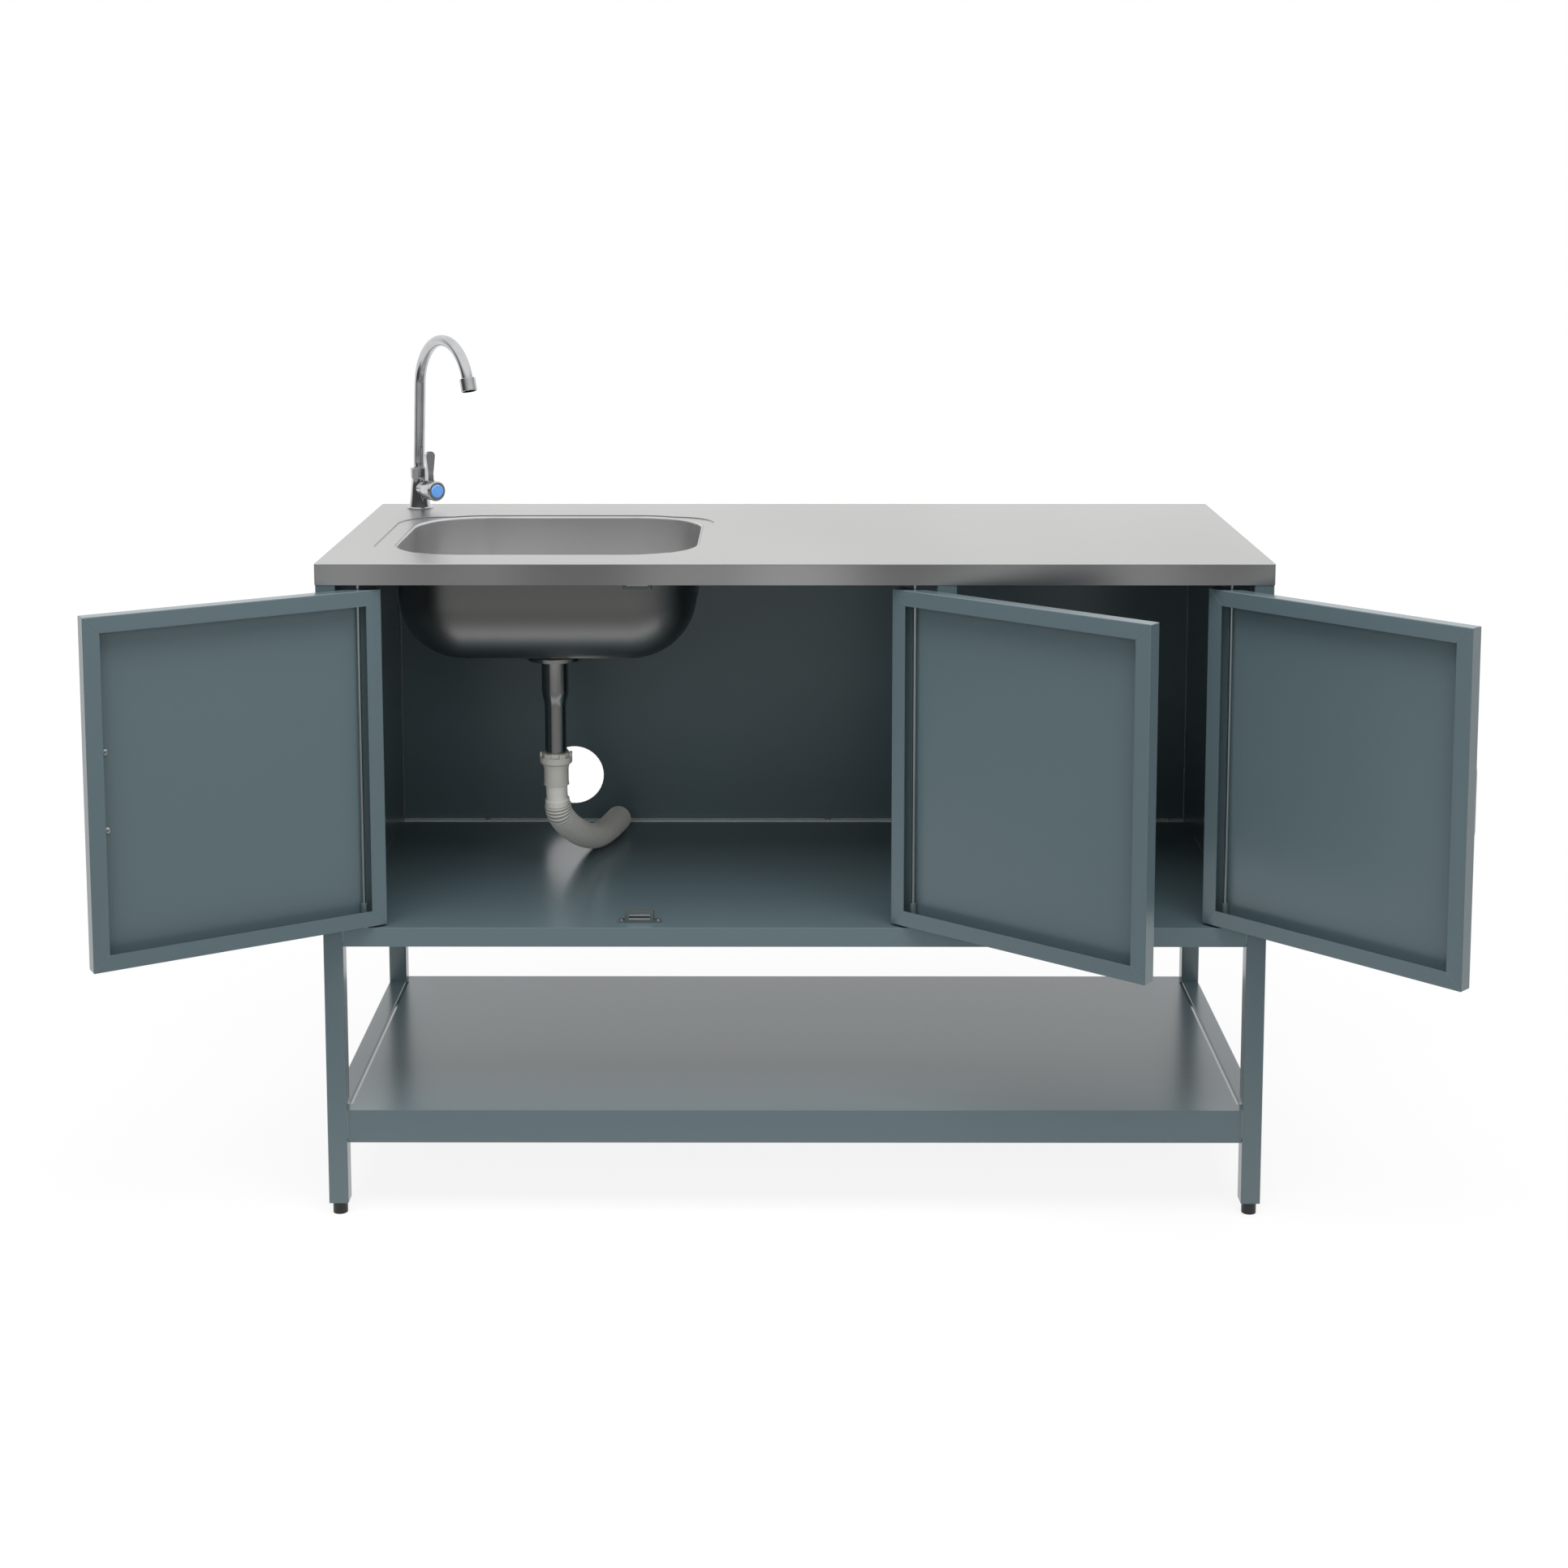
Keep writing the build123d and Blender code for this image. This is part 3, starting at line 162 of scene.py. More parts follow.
floor_corners = [(x * floor_reach, y * floor_reach, 0) for x, y in ((-1, -1), (1, -1), (1, 1), (-1, 1))]
floor_mesh = bpy.data.meshes.new("studio_floor")
floor_mesh.from_pydata(floor_corners, [], [(0, 1, 2, 3)])
floor_mesh.materials.append(floor_paper)
studio_floor = new_piece("studio_floor", floor_mesh)

# The surround is white to the camera and a soft fill light to the surfaces. Metal sees it fade to a dark
# room towards the camera, and brighten again to the ceiling.
dark_room = 0.08
ceiling_level = 1.05
fill_level = 0.30
world = bpy.data.worlds.new("studio")
bpy.context.scene.world = world
world.use_nodes = True
tree = world.node_tree
tree.nodes.clear()
from_camera, from_metal = sort_rays(tree)
direction = add_node(tree, "ShaderNodeTexCoord")
axes = add_node(tree, "ShaderNodeSeparateXYZ", [(0, direction.outputs["Generated"])])
back_light = add_node(tree, "ShaderNodeMapRange", [
    ("Value", axes.outputs["Y"]),
    ("From Min", -0.1),
    ("From Max", 0.55),
    ("To Min", dark_room),
    ("To Max", 1.0),
], interpolation_type="SMOOTHSTEP")
ceiling = add_node(tree, "ShaderNodeMapRange", [
    ("Value", axes.outputs["Z"]),
    ("From Min", 0.10),
    ("From Max", 0.60),
    ("To Min", dark_room),
    ("To Max", ceiling_level),
], interpolation_type="SMOOTHSTEP")
around = add_node(tree, "ShaderNodeMath", [(0, back_light.outputs[0]), (1, ceiling.outputs[0])],
                  operation="MAXIMUM")
mirrored = add_node(tree, "ShaderNodeMath", [(0, from_metal), (1, around.outputs[0])], operation="MULTIPLY")
shown = add_node(tree, "ShaderNodeMath", [(0, mirrored.outputs[0]), (1, from_camera)], operation="MAXIMUM")
other = add_node(tree, "ShaderNodeMath", [(0, 1.0), (1, from_metal)], operation="SUBTRACT")
fill = add_node(tree, "ShaderNodeMath", [(0, other.outputs[0]), (1, fill_level)], operation="MULTIPLY")
level = add_node(tree, "ShaderNodeMath", [(0, shown.outputs[0]), (1, fill.outputs[0])], operation="MAXIMUM")
surround = add_node(tree, "ShaderNodeBackground", [("Color", white_light), ("Strength", level.outputs[0])])
add_node(tree, "ShaderNodeOutputWorld", [("Surface", surround.outputs[0])])

# Each lamp has a place, a target that it is turned to, a width, a height and a power in watts.
for name, place, target, width, height, power in (
    ("lamp_above", (0.0, -1.1, 3.2), (0, -0.1, 0.6), 3.2, 2.0, 105),
    ("lamp_front", (0.0, -3.6, 1.7), (0, 0, 0.5), 3.6, 1.2, 30),
    ("lamp_back", (0.0, 3.4, 2.2), (0, 0, 0.5), 3.6, 1.2, 24),
):
    lamp_data = bpy.data.lights.new(name, "AREA")
    lamp_data.shape = "RECTANGLE"
    lamp_data.size = width
    lamp_data.size_y = height
    lamp_data.energy = power
    lamp = bpy.data.objects.new(name, lamp_data)
    lamp.location = place
    lamp.rotation_euler = (Vector(target) - Vector(place)).to_track_quat("-Z", "Y").to_euler()
    lamp.visible_glossy = False
    bpy.context.scene.collection.objects.link(lamp)


# ------------------------------------------------------------ drain hose
# A blow-moulded ribbed hose of grey polyethylene, pushed up into the coupling on its plain cuff. It bends
# back to the right and lies on the cupboard floor with its mouth open. The mould leaves it matt and a
# little cloudy. The valleys between the ribs are painted darker: painted shade.
hose_route = [
    (-0.323, -0.024, 0.522),
    (-0.323, -0.024, 0.473),
    (-0.316, -0.005, 0.452),
    (-0.305, 0.025, 0.430),
    (-0.292, 0.060, 0.4115),
    (-0.279, 0.096, 0.3995),
    (-0.264, 0.135, 0.3995),
    (-0.254, 0.190, 0.3995),
]
hose_sizes = {
    "Step": 0.0006,
    "Cuff radius": 0.0145,
    "Ring start": 0.0357,
    "Ring radius": 0.0166,
    "Rib start": 0.0430,
    "Rib pitch": 0.0040,
    "Valley radius": 0.0168,
    "Rib height": 0.0012,
    "Wall": 0.0018,
}
route_curve = bpy.data.curves.new("hose_route", "CURVE")
route_curve.dimensions = "3D"
route_curve.resolution_u = 24
route_spline = route_curve.splines.new("NURBS")
route_spline.points.add(len(hose_route) - 1)
for point, place in zip(route_spline.points, hose_route):
    point.co = (*place, 1.0)
route_spline.order_u = 3
route_spline.use_endpoint_u = True
route_object = new_piece("hose_route", route_curve)
bpy.context.view_layer.update()
route_mesh = bpy.data.meshes.new_from_object(
    route_object.evaluated_get(bpy.context.evaluated_depsgraph_get()))
bpy.data.objects.remove(route_object)


def new_tree(name, sizes):
    """A geometry node tree that takes a seed and one named float per size, with its inputs and output."""
    tree = bpy.data.node_groups.new(name, "GeometryNodeTree")
    tree.interface.new_socket("Geometry", in_out="INPUT", socket_type="NodeSocketGeometry")
    for size_name in sizes:
        tree.interface.new_socket(size_name, in_out="INPUT", socket_type="NodeSocketFloat")
    tree.interface.new_socket("Geometry", in_out="OUTPUT", socket_type="NodeSocketGeometry")
    group_in = tree.nodes.new("NodeGroupInput")
    group_out = tree.nodes.new("NodeGroupOutput")
    return tree, group_in.outputs, group_out


def end_tree(tree, geometry, material, group_out):
    """Passes a tree's geometry out as real faces in one material."""
    real = add_node(tree, "GeometryNodeRealizeInstances", [(0, geometry)])
    coloured = add_node(tree, "GeometryNodeSetMaterial", [
        ("Geometry", real.outputs[0]),
        ("Material", material),
    ])
    tree.links.new(coloured.outputs[0], group_out.inputs[0])


def end_tube(tree, skin, wall, material, group_out):
    """Gives a tube's skin an inner wall, welds the two round both mouths and passes them out."""
    inward = add_node(tree, "ShaderNodeMath", [(0, wall), (1, -1.0)], operation="MULTIPLY")
    bore = add_node(tree, "GeometryNodeExtrudeMesh", [
        ("Mesh", skin),
        ("Offset Scale", inward.outputs[0]),
        ("Individual", False),
    ])
    lining = add_node(tree, "GeometryNodeFlipFaces", [("Mesh", bore.outputs["Mesh"])])
    both = add_node(tree, "GeometryNodeJoinGeometry")
    tree.links.new(skin, both.inputs[0])
    tree.links.new(lining.outputs[0], both.inputs[0])
    welded = add_node(tree, "GeometryNodeMergeByDistance", [
        ("Geometry", both.outputs[0]),
        ("Distance", 0.00001),
    ])
    smooth = add_node(tree, "GeometryNodeSetShadeSmooth", [(0, welded.outputs[0])])
    end_tree(tree, smooth.outputs[0], material, group_out)


def grow_piece(name, tree, sizes, seed_mesh):
    """Runs a tree on a seed mesh with its named sizes, and returns the result as a plain piece."""
    seed = new_piece(name + "_seed", seed_mesh)
    modifier = seed.modifiers.new("grow", "NODES")
    modifier.node_group = tree
    for socket in tree.interface.items_tree:
        if socket.in_out == "INPUT" and socket.name in sizes:
            modifier[socket.identifier] = sizes[socket.name]
    bpy.context.view_layer.update()
    grown = seed.evaluated_get(bpy.context.evaluated_depsgraph_get())
    mesh = bpy.data.meshes.new_from_object(grown)
    mesh.name = name
    bpy.data.objects.remove(seed)
    return new_piece(name, mesh)


# A Mix node's colour sockets share their names with those for numbers, so they go by their places.
first_colour = 6
second_colour = 7
mixed_colour = 2

hose_plastic, tree, output = new_material("hose_polyethylene")
place = add_node(tree, "ShaderNodeTexCoord")
cloud = add_node(tree, "ShaderNodeTexNoise", [
    ("Vector", place.outputs["Object"]),
    ("Scale", 55.0),
    ("Detail", 3.0),
])
tint = add_node(tree, "ShaderNodeMix", [
    ("Factor", cloud.outputs[0]),
    (first_colour, hex_colour("E2E0DA")),
    (second_colour, hex_colour("EAE8E3")),
], data_type="RGBA")
# The crest value darkens the valleys between the ribs towards A6A49D: painted shade.
crest = add_node(tree, "ShaderNodeAttribute", attribute_name="crest")
valley_shaded_tint = add_node(tree, "ShaderNodeMix", [
    ("Factor", crest.outputs["Fac"]),
    (first_colour, hex_colour("A6A49D")),
    (second_colour, tint.outputs[mixed_colour]),
], data_type="RGBA")
grain = add_node(tree, "ShaderNodeTexNoise", [
    ("Vector", place.outputs["Object"]),
    ("Scale", 1400.0),
    ("Detail", 2.0),
])
bump = add_node(tree, "ShaderNodeBump", [
    ("Strength", 0.08),
    ("Distance", 0.0004),
    ("Height", grain.outputs[0]),
])
rough = add_node(tree, "ShaderNodeMapRange", [
    ("Value", cloud.outputs[0]),
    ("To Min", 0.38),
    ("To Max", 0.50),
])
plastic = add_node(tree, "ShaderNodeBsdfPrincipled", [
    ("Base Color", valley_shaded_tint.outputs[mixed_colour]),
    ("Roughness", rough.outputs[0]),
    ("IOR", 1.51),
    ("Subsurface Weight", 0.06),
    ("Subsurface Scale", 0.004),
    ("Normal", bump.outputs[0]),
])
tree.links.new(plastic.outputs[0], output.inputs["Surface"])

# Along the route come the plain cuff, the ring and the ribs. A rib has a flat crest with soft, steep
# shoulders, and the valley to the next one is a little wider than the crest.
tree, size, group_out = new_tree("ribbed_hose", hose_sizes)
line = add_node(tree, "GeometryNodeMeshToCurve", [("Mesh", size["Geometry"])])
even = add_node(tree, "GeometryNodeResampleCurve", [
    ("Curve", line.outputs[0]),
    ("Length", size["Step"]),
], mode="LENGTH")
along = add_node(tree, "GeometryNodeSplineParameter").outputs["Length"]
past_ring = add_node(tree, "ShaderNodeMath", [(0, along), (1, size["Ring start"])],
                     operation="GREATER_THAN")
past_rib = add_node(tree, "ShaderNodeMath", [(0, along), (1, size["Rib start"])], operation="GREATER_THAN")
start = add_node(tree, "ShaderNodeMath", [(0, along), (1, size["Rib start"])], operation="SUBTRACT")
turns = add_node(tree, "ShaderNodeMath", [(0, start.outputs[0]), (1, size["Rib pitch"])],
                 operation="DIVIDE")
phase = add_node(tree, "ShaderNodeMath", [(0, turns.outputs[0]), (1, 2 * pi)], operation="MULTIPLY")
wave = add_node(tree, "ShaderNodeMath", [(0, phase.outputs[0])], operation="COSINE")
rise = add_node(tree, "ShaderNodeMapRange", [
    ("Value", wave.outputs[0]),
    ("From Min", 0.35),
    ("From Max", -0.55),
    ("To Min", 0.0),
    ("To Max", 1.0),
], interpolation_type="SMOOTHSTEP")
rib = add_node(tree, "ShaderNodeMath", [
    (0, rise.outputs[0]),
    (1, size["Rib height"]),
    (2, size["Valley radius"]),
], operation="MULTIPLY_ADD")
cuff = add_node(tree, "ShaderNodeMix", [
    ("Factor", past_ring.outputs[0]),
    ("A", size["Cuff radius"]),
    ("B", size["Ring radius"]),
])
radius = add_node(tree, "ShaderNodeMix", [
    ("Factor", past_rib.outputs[0]),
    ("A", cuff.outputs[0]),
    ("B", rib.outputs[0]),
])
# Beyond the ring the crest value marks the valleys for the hose's painted shade.
on_crest = add_node(tree, "ShaderNodeMix", [
    ("Factor", past_rib.outputs[0]),
    ("A", 1.0),
    ("B", rise.outputs[0]),
])
marked = add_node(tree, "GeometryNodeStoreNamedAttribute", [
    ("Geometry", even.outputs[0]),
    ("Name", "crest"),
    ("Value", on_crest.outputs[0]),
])
ring = add_node(tree, "GeometryNodeCurvePrimitiveCircle", [("Resolution", 40), ("Radius", 1.0)])
skin = add_node(tree, "GeometryNodeCurveToMesh", [
    ("Curve", marked.outputs[0]),
    ("Profile Curve", ring.outputs[0]),
    ("Scale", radius.outputs[0]),
])
end_tube(tree, skin.outputs[0], size["Wall"], hose_plastic, group_out)

drain_hose = grow_piece("drain_hose_ribbed", tree, hose_sizes, route_mesh)
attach(drain_hose, "frame")
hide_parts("drain_hose")


# ------------------------------------------------------------ powder coat on the frame, sheets and doors
# Polyester powder, sprayed and baked on welded square tube and folded steel sheet: a satin blue-grey skin
# with a fine orange peel about 2 mm across, faintly clouded over large sheets, and a soft grazing sheen.
def powder_coat(name, dark, light, pale_below=None):
    """A satin powder coat between two colours. Below a height it gives way to a pale, matt near-white."""
    material, tree, output = new_material(name)
    place = add_node(tree, "ShaderNodeTexCoord")
    cloud = add_node(tree, "ShaderNodeTexNoise", [
        ("Vector", place.outputs["Object"]),
        ("Scale", 3.0),
        ("Detail", 0.0),
    ])
    tint = add_node(tree, "ShaderNodeMix", [
        ("Factor", cloud.outputs[0]),
        (first_colour, hex_colour(dark)),
        (second_colour, hex_colour(light)),
    ], data_type="RGBA")
    peel = add_node(tree, "ShaderNodeTexNoise", [
        ("Vector", place.outputs["Object"]),
        ("Scale", 480.0),
        ("Detail", 1.0),
    ])
    bump = add_node(tree, "ShaderNodeBump", [
        ("Strength", 0.04),
        ("Distance", 0.0002),
        ("Height", peel.outputs[0]),
    ])
    surface = add_node(tree, "ShaderNodeBsdfPrincipled", [
        ("Base Color", tint.outputs[mixed_colour]),
        ("Roughness", 0.27),
        ("IOR", 1.5),
        ("Coat Weight", 0.45),
        ("Coat Roughness", 0.2),
        ("Normal", bump.outputs[0]),
    ])
    if pale_below:
        axes = add_node(tree, "ShaderNodeSeparateXYZ", [(0, place.outputs["Object"])])
        bare = add_node(tree, "ShaderNodeMath", [(0, axes.outputs["Z"]), (1, pale_below)],
                        operation="LESS_THAN")
        pale_tint = add_node(tree, "ShaderNodeMix", [
            ("Factor", cloud.outputs[0]),
            (first_colour, hex_colour("E4EBE8")),
            (second_colour, hex_colour("F2F6F4")),
        ], data_type="RGBA")
        pale_matt = add_node(tree, "ShaderNodeBsdfPrincipled", [
            ("Base Color", pale_tint.outputs[mixed_colour]),
            ("Roughness", 0.45),
        ])
        surface = add_node(tree, "ShaderNodeMixShader", [
            (0, bare.outputs[0]),
            (1, surface.outputs[0]),
            (2, pale_matt.outputs[0]),
        ])
    tree.links.new(surface.outputs[0], output.inputs["Surface"])
    return material


def finish_node(material, *names):
    """Gives CAD nodes one material in place of their own."""
    for name in names:
        for slot_place in cad_nodes[name].material_slots:
            slot_place.material = material


coat_dark = "54656B"
coat_light = "56676D"
coat = powder_coat("powder_coat_blue_grey", coat_dark, coat_light)
finish_node(
    coat, "leg_front_left", "leg_front_right", "leg_rear_left", "leg_rear_right", "top_rail_front",
    "top_rail_rear", "top_side_rails", "mullion", "floor_side_rails", "shelf_side_rails", "side_panel_left",
    "side_panel_right", "shelf_panel", "door_panel_left", "door_panel_middle", "door_panel_right",
)

# The cupboard floor takes a lighter copy of the blue-grey coat: painted light, for the light falling on it
# from above and in front.
floor_coat_painted_light = powder_coat("powder_coat_cupboard_floor_painted_light", "5A6C72", "5C6E74")
finish_node(floor_coat_painted_light, "cupboard_floor")

# The back panel's hem lies on the cupboard floor under three screws. Up to the hem's top the coat gives way
# to a pale, matt near-white, so the hem shows as one pale line.
hem_top = 0.3827
back_coat = powder_coat("powder_coat_back_panel", coat_dark, coat_light, pale_below=hem_top)
finish_node(back_coat, "back_panel")


# ------------------------------------------------------------ door corners
# Each door is a folded pan whose lips meet in mitres. A weld bead runs along each mitre, ground nearly flat
# and coated over, so that it shows as a faint ridge from the inner corner to the outer one.
door_bottom = 0.3840
door_height = 0.4325
door_lip = 0.020
pivot_y = -0.2525
pivot_to_edge = 0.0255
pivot_to_lip = 0.0135
weld_inset = 0.0012
weld_depth = 0.00045
weld_sizes = {"Bead radius": 0.0007}
# Each door's pivot along X, the way it reaches from there, its opening in degrees and its width.
door_layout = {
    "left": (-0.5467, 1, 149, 0.3727),
    "middle": (0.1507, -1, 141, 0.3727),
    "right": (0.5467, -1, 135, 0.3667),
}


def door_directions(side, opened):
    """Unit vectors from an open door's pivot to its free edge, and from its outer face to its inner one."""
    along = Vector((side * cos(radians(opened)), -sin(radians(opened)), 0))
    inward = Vector((side * sin(radians(opened)), cos(radians(opened)), 0))
    return along, inward


weld_tree, size, group_out = new_tree("mitre_weld", weld_sizes)
line = add_node(weld_tree, "GeometryNodeMeshToCurve", [("Mesh", size["Geometry"])])
ring = add_node(weld_tree, "GeometryNodeCurvePrimitiveCircle", [
    ("Resolution", 10),
    ("Radius", size["Bead radius"]),
])
bead = add_node(weld_tree, "GeometryNodeCurveToMesh", [
    ("Curve", line.outputs[0]),
    ("Profile Curve", ring.outputs[0]),
    ("Fill Caps", True),
])
end_tree(weld_tree, bead.outputs[0], coat, group_out)

for word, (pivot_x, side, opened, width) in door_layout.items():
    along, inward = door_directions(side, opened)
    pivot = Vector((pivot_x, pivot_y, door_bottom))
    foot = pivot + (pivot_to_lip - weld_depth) * inward - pivot_to_edge * along
    corners = []
    for edge, step in ((weld_inset, 1), (width - weld_inset, -1)):
        for height, rise in ((weld_inset, 1), (door_height - weld_inset, -1)):
            outer = foot + edge * along + Vector((0, 0, height))
            inner = outer + (door_lip - weld_inset) * (step * along + Vector((0, 0, rise)))
            corners += [outer, inner]
    seam_mesh = bpy.data.meshes.new("mitre_lines")
    seam_mesh.from_pydata(corners, [(0, 1), (2, 3), (4, 5), (6, 7)], [])
    weld = grow_piece(f"door_{word}_mitre_welds", weld_tree, weld_sizes, seam_mesh)
    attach(weld, f"door_{word}")


# ------------------------------------------------------------ worktop
# One sheet of stainless steel, folded down on four sides, with a shallow border pressed round the bowl. It
# is polished lengthwise with a fine belt, which leaves a dull grey sheen and long soft streaks. On the fold
# the streaks are painted strong and pale: painted reflections of soft light.
def worked_metal(name, dark, light, roughness, streak, scratch, strength, start=0.0, fold=None, middle=None,
                 outer=None):
    """A bare or plated metal between two colours, with streak and scratch scales per metre. The start shifts
    the streaks along X. Below a fold's height they are strong and pale, a painted reflection. Faces that
    look away from a hollow's middle take the outer colour, a painted shade."""
    material, tree, output = new_material(name)
    place = add_node(tree, "ShaderNodeTexCoord")
    wide = add_node(tree, "ShaderNodeMapping", [
        ("Vector", place.outputs["Object"]),
        ("Location", (start, 0, 0)),
        ("Scale", streak),
    ])
    cloud = add_node(tree, "ShaderNodeTexNoise", [
        ("Vector", wide.outputs[0]),
        ("Scale", 1.0),
        ("Detail", 1.0),
    ])
    tone = add_node(tree, "ShaderNodeMapRange", [
        ("Value", cloud.outputs[0]),
        ("From Min", 0.35),
        ("From Max", 0.65),
    ], interpolation_type="SMOOTHSTEP")
    tint = add_node(tree, "ShaderNodeMix", [
        ("Factor", tone.outputs[0]),
        (first_colour, hex_colour(dark)),
        (second_colour, hex_colour(light)),
    ], data_type="RGBA")
    if fold:
        axes = add_node(tree, "ShaderNodeSeparateXYZ", [(0, place.outputs["Object"])])
        below = add_node(tree, "ShaderNodeMath", [(0, axes.outputs["Z"]), (1, fold)], operation="LESS_THAN")
        # Below the fold the streaks run from dark grey to nearly white: painted reflections on the fascia.
        strong = add_node(tree, "ShaderNodeMix", [
            ("Factor", tone.outputs[0]),
            (first_colour, hex_colour("A8A8A8")),
            (second_colour, hex_colour("F2F2F2")),
        ], data_type="RGBA")
        tint = add_node(tree, "ShaderNodeMix", [
            ("Factor", below.outputs[0]),
            (first_colour, tint.outputs[mixed_colour]),
            (second_colour, strong.outputs[mixed_colour]),
        ], data_type="RGBA")
    # Faces that look out of the hollow take the darker outer colour: painted shade.
    if middle:
        face = add_node(tree, "ShaderNodeNewGeometry")
        reach = add_node(tree, "ShaderNodeVectorMath", [(0, place.outputs["Object"]), (1, middle)],
                         operation="SUBTRACT")
        looks = add_node(tree, "ShaderNodeVectorMath", [(0, reach.outputs[0]), (1, face.outputs["Normal"])],
                         operation="DOT_PRODUCT")
        outside = add_node(tree, "ShaderNodeMath", [(0, looks.outputs["Value"]), (1, 0.0)],
                           operation="GREATER_THAN")
        tint = add_node(tree, "ShaderNodeMix", [
            ("Factor", outside.outputs[0]),
            (first_colour, tint.outputs[mixed_colour]),
            (second_colour, hex_colour(outer)),
        ], data_type="RGBA")
    fine = add_node(tree, "ShaderNodeMapping", [("Vector", place.outputs["Object"]), ("Scale", scratch)])
    grain = add_node(tree, "ShaderNodeTexNoise", [
        ("Vector", fine.outputs[0]),
        ("Scale", 1.0),
        ("Detail", 4.0),
    ])
    bump = add_node(tree, "ShaderNodeBump", [
        ("Strength", strength),
        ("Distance", 0.0003),
        ("Height", grain.outputs[0]),
    ])
    rough = add_node(tree, "ShaderNodeMapRange", [
        ("Value", grain.outputs[0]),
        ("From Min", 0.3),
        ("From Max", 0.7),
        ("To Min", roughness * 0.92),
        ("To Max", roughness * 1.1),
    ])
    metal = add_node(tree, "ShaderNodeBsdfPrincipled", [
        ("Base Color", tint.outputs[mixed_colour]),
        ("Metallic", 1.0),
        ("Roughness", rough.outputs[0]),
        ("Normal", bump.outputs[0]),
    ])
    tree.links.new(metal.outputs[0], output.inputs["Surface"])
    return material


def round_edges(piece, width, segments, least_turn):
    """Rounds the edges where a piece's faces turn by at least an angle in degrees."""
    edge = piece.modifiers.new("rounded_edges", "BEVEL")
    edge.width = width
    edge.segments = segments
    edge.limit_method = "ANGLE"
    edge.angle_limit = radians(least_turn)
    edge.harden_normals = True


def rounded_copy(name, node, width, body, material):
    """A merged copy of a CAD node with its sharp edges rounded, which stands in for the node."""
    mesh = cad_nodes[node].data.copy()
    mesh.name = name
    shape = bmesh.new()
    shape.from_mesh(mesh)
    bmesh.ops.remove_doubles(shape, verts=shape.verts, dist=0.000001)
    bmesh.ops.dissolve_limit(shape, angle_limit=radians(0.1), verts=shape.verts, edges=shape.edges)
    large_faces = [face for face in shape.faces if len(face.verts) > 4]
    bmesh.ops.triangulate(shape, faces=large_faces, ngon_method="EAR_CLIP")
    shape.to_mesh(mesh)
    shape.free()
    for old in ("custom_normal", "sharp_edge", "sharp_face"):
        if old in mesh.attributes:
            mesh.attributes.remove(mesh.attributes[old])
    mesh.shade_smooth()
    mesh.materials.clear()
    mesh.materials.append(material)
    piece = new_piece(name, mesh)
    round_edges(piece, width, segments=3, least_turn=35)
    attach(piece, body)
    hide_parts(node)


worktop_steel = worked_metal("worktop_stainless_brushed", "BFBFBE", "C4C4C3", roughness=0.34,
                             streak=(3.2, 1.0, 1.0), scratch=(6.0, 900.0, 900.0), strength=0.10,
                             start=0.9, fold=0.8485)
rounded_copy("worktop_sheet", "worktop", width=0.0005, body="frame",
             material=worktop_steel)


# ------------------------------------------------------------ sink bowl and waste
# The bowl is deep-drawn stainless steel, blasted to an even satin. Its outside is painted darker: painted
# shade.
# The flanged waste is pressed from the same steel, clamped through the bowl on a rubber ring by a black
# plastic nut. The rubber is dull and near black, and the moulded nut shines a little more.
# The darker outer colour is painted shade on the bowl's outside.
bowl_steel = worked_metal("bowl_stainless_satin", "D0D0D0", "D9D9D9", roughness=0.38,
                          streak=(6.0, 6.0, 6.0), scratch=(500.0, 500.0, 500.0), strength=0.08,
                          middle=(-0.324, -0.0215, 0.80), outer="9C9C9B")
finish_node(bowl_steel, "sink_bowl")
waste_steel = worked_metal("waste_stainless_pressed", "B8B8B7", "C4C4C3", roughness=0.26,
                           streak=(20.0, 20.0, 20.0), scratch=(400.0, 400.0, 400.0), strength=0.05)
finish_node(waste_steel, "sink_waste")


def moulded(name, dark, light, roughness, ior, grain_scale, strength):
    """A moulded rubber or plastic with a faint cloud of colour and a fine grain."""
    material, tree, output = new_material(name)
    place = add_node(tree, "ShaderNodeTexCoord")
    cloud = add_node(tree, "ShaderNodeTexNoise", [
        ("Vector", place.outputs["Object"]),
        ("Scale", 70.0),
        ("Detail", 3.0),
    ])
    tint = add_node(tree, "ShaderNodeMix", [
        ("Factor", cloud.outputs[0]),
        (first_colour, hex_colour(dark)),
        (second_colour, hex_colour(light)),
    ], data_type="RGBA")
    grain = add_node(tree, "ShaderNodeTexNoise", [
        ("Vector", place.outputs["Object"]),
        ("Scale", grain_scale),
        ("Detail", 2.0),
    ])
    bump = add_node(tree, "ShaderNodeBump", [
        ("Strength", strength),
        ("Distance", 0.0003),
        ("Height", grain.outputs[0]),
    ])
    rough = add_node(tree, "ShaderNodeMapRange", [
        ("Value", cloud.outputs[0]),
        ("To Min", roughness - 0.04),
        ("To Max", roughness + 0.05),
    ])
    plastic = add_node(tree, "ShaderNodeBsdfPrincipled", [
        ("Base Color", tint.outputs[mixed_colour]),
        ("Roughness", rough.outputs[0]),
        ("IOR", ior),
        ("Normal", bump.outputs[0]),
    ])
    tree.links.new(plastic.outputs[0], output.inputs["Surface"])
    return material


rubber = moulded("rubber_black_moulded", "161616", "1E1E1D", roughness=0.62, ior=1.52, grain_scale=900.0,
                 strength=0.15)
black_plastic = moulded("polypropylene_black_moulded", "131415", "1B1C1D", roughness=0.40, ior=1.49,
                        grain_scale=700.0, strength=0.12)
finish_node(rubber, "waste_gasket", "coupling_seal")
finish_node(black_plastic, "waste_locknut", "leg_inserts")


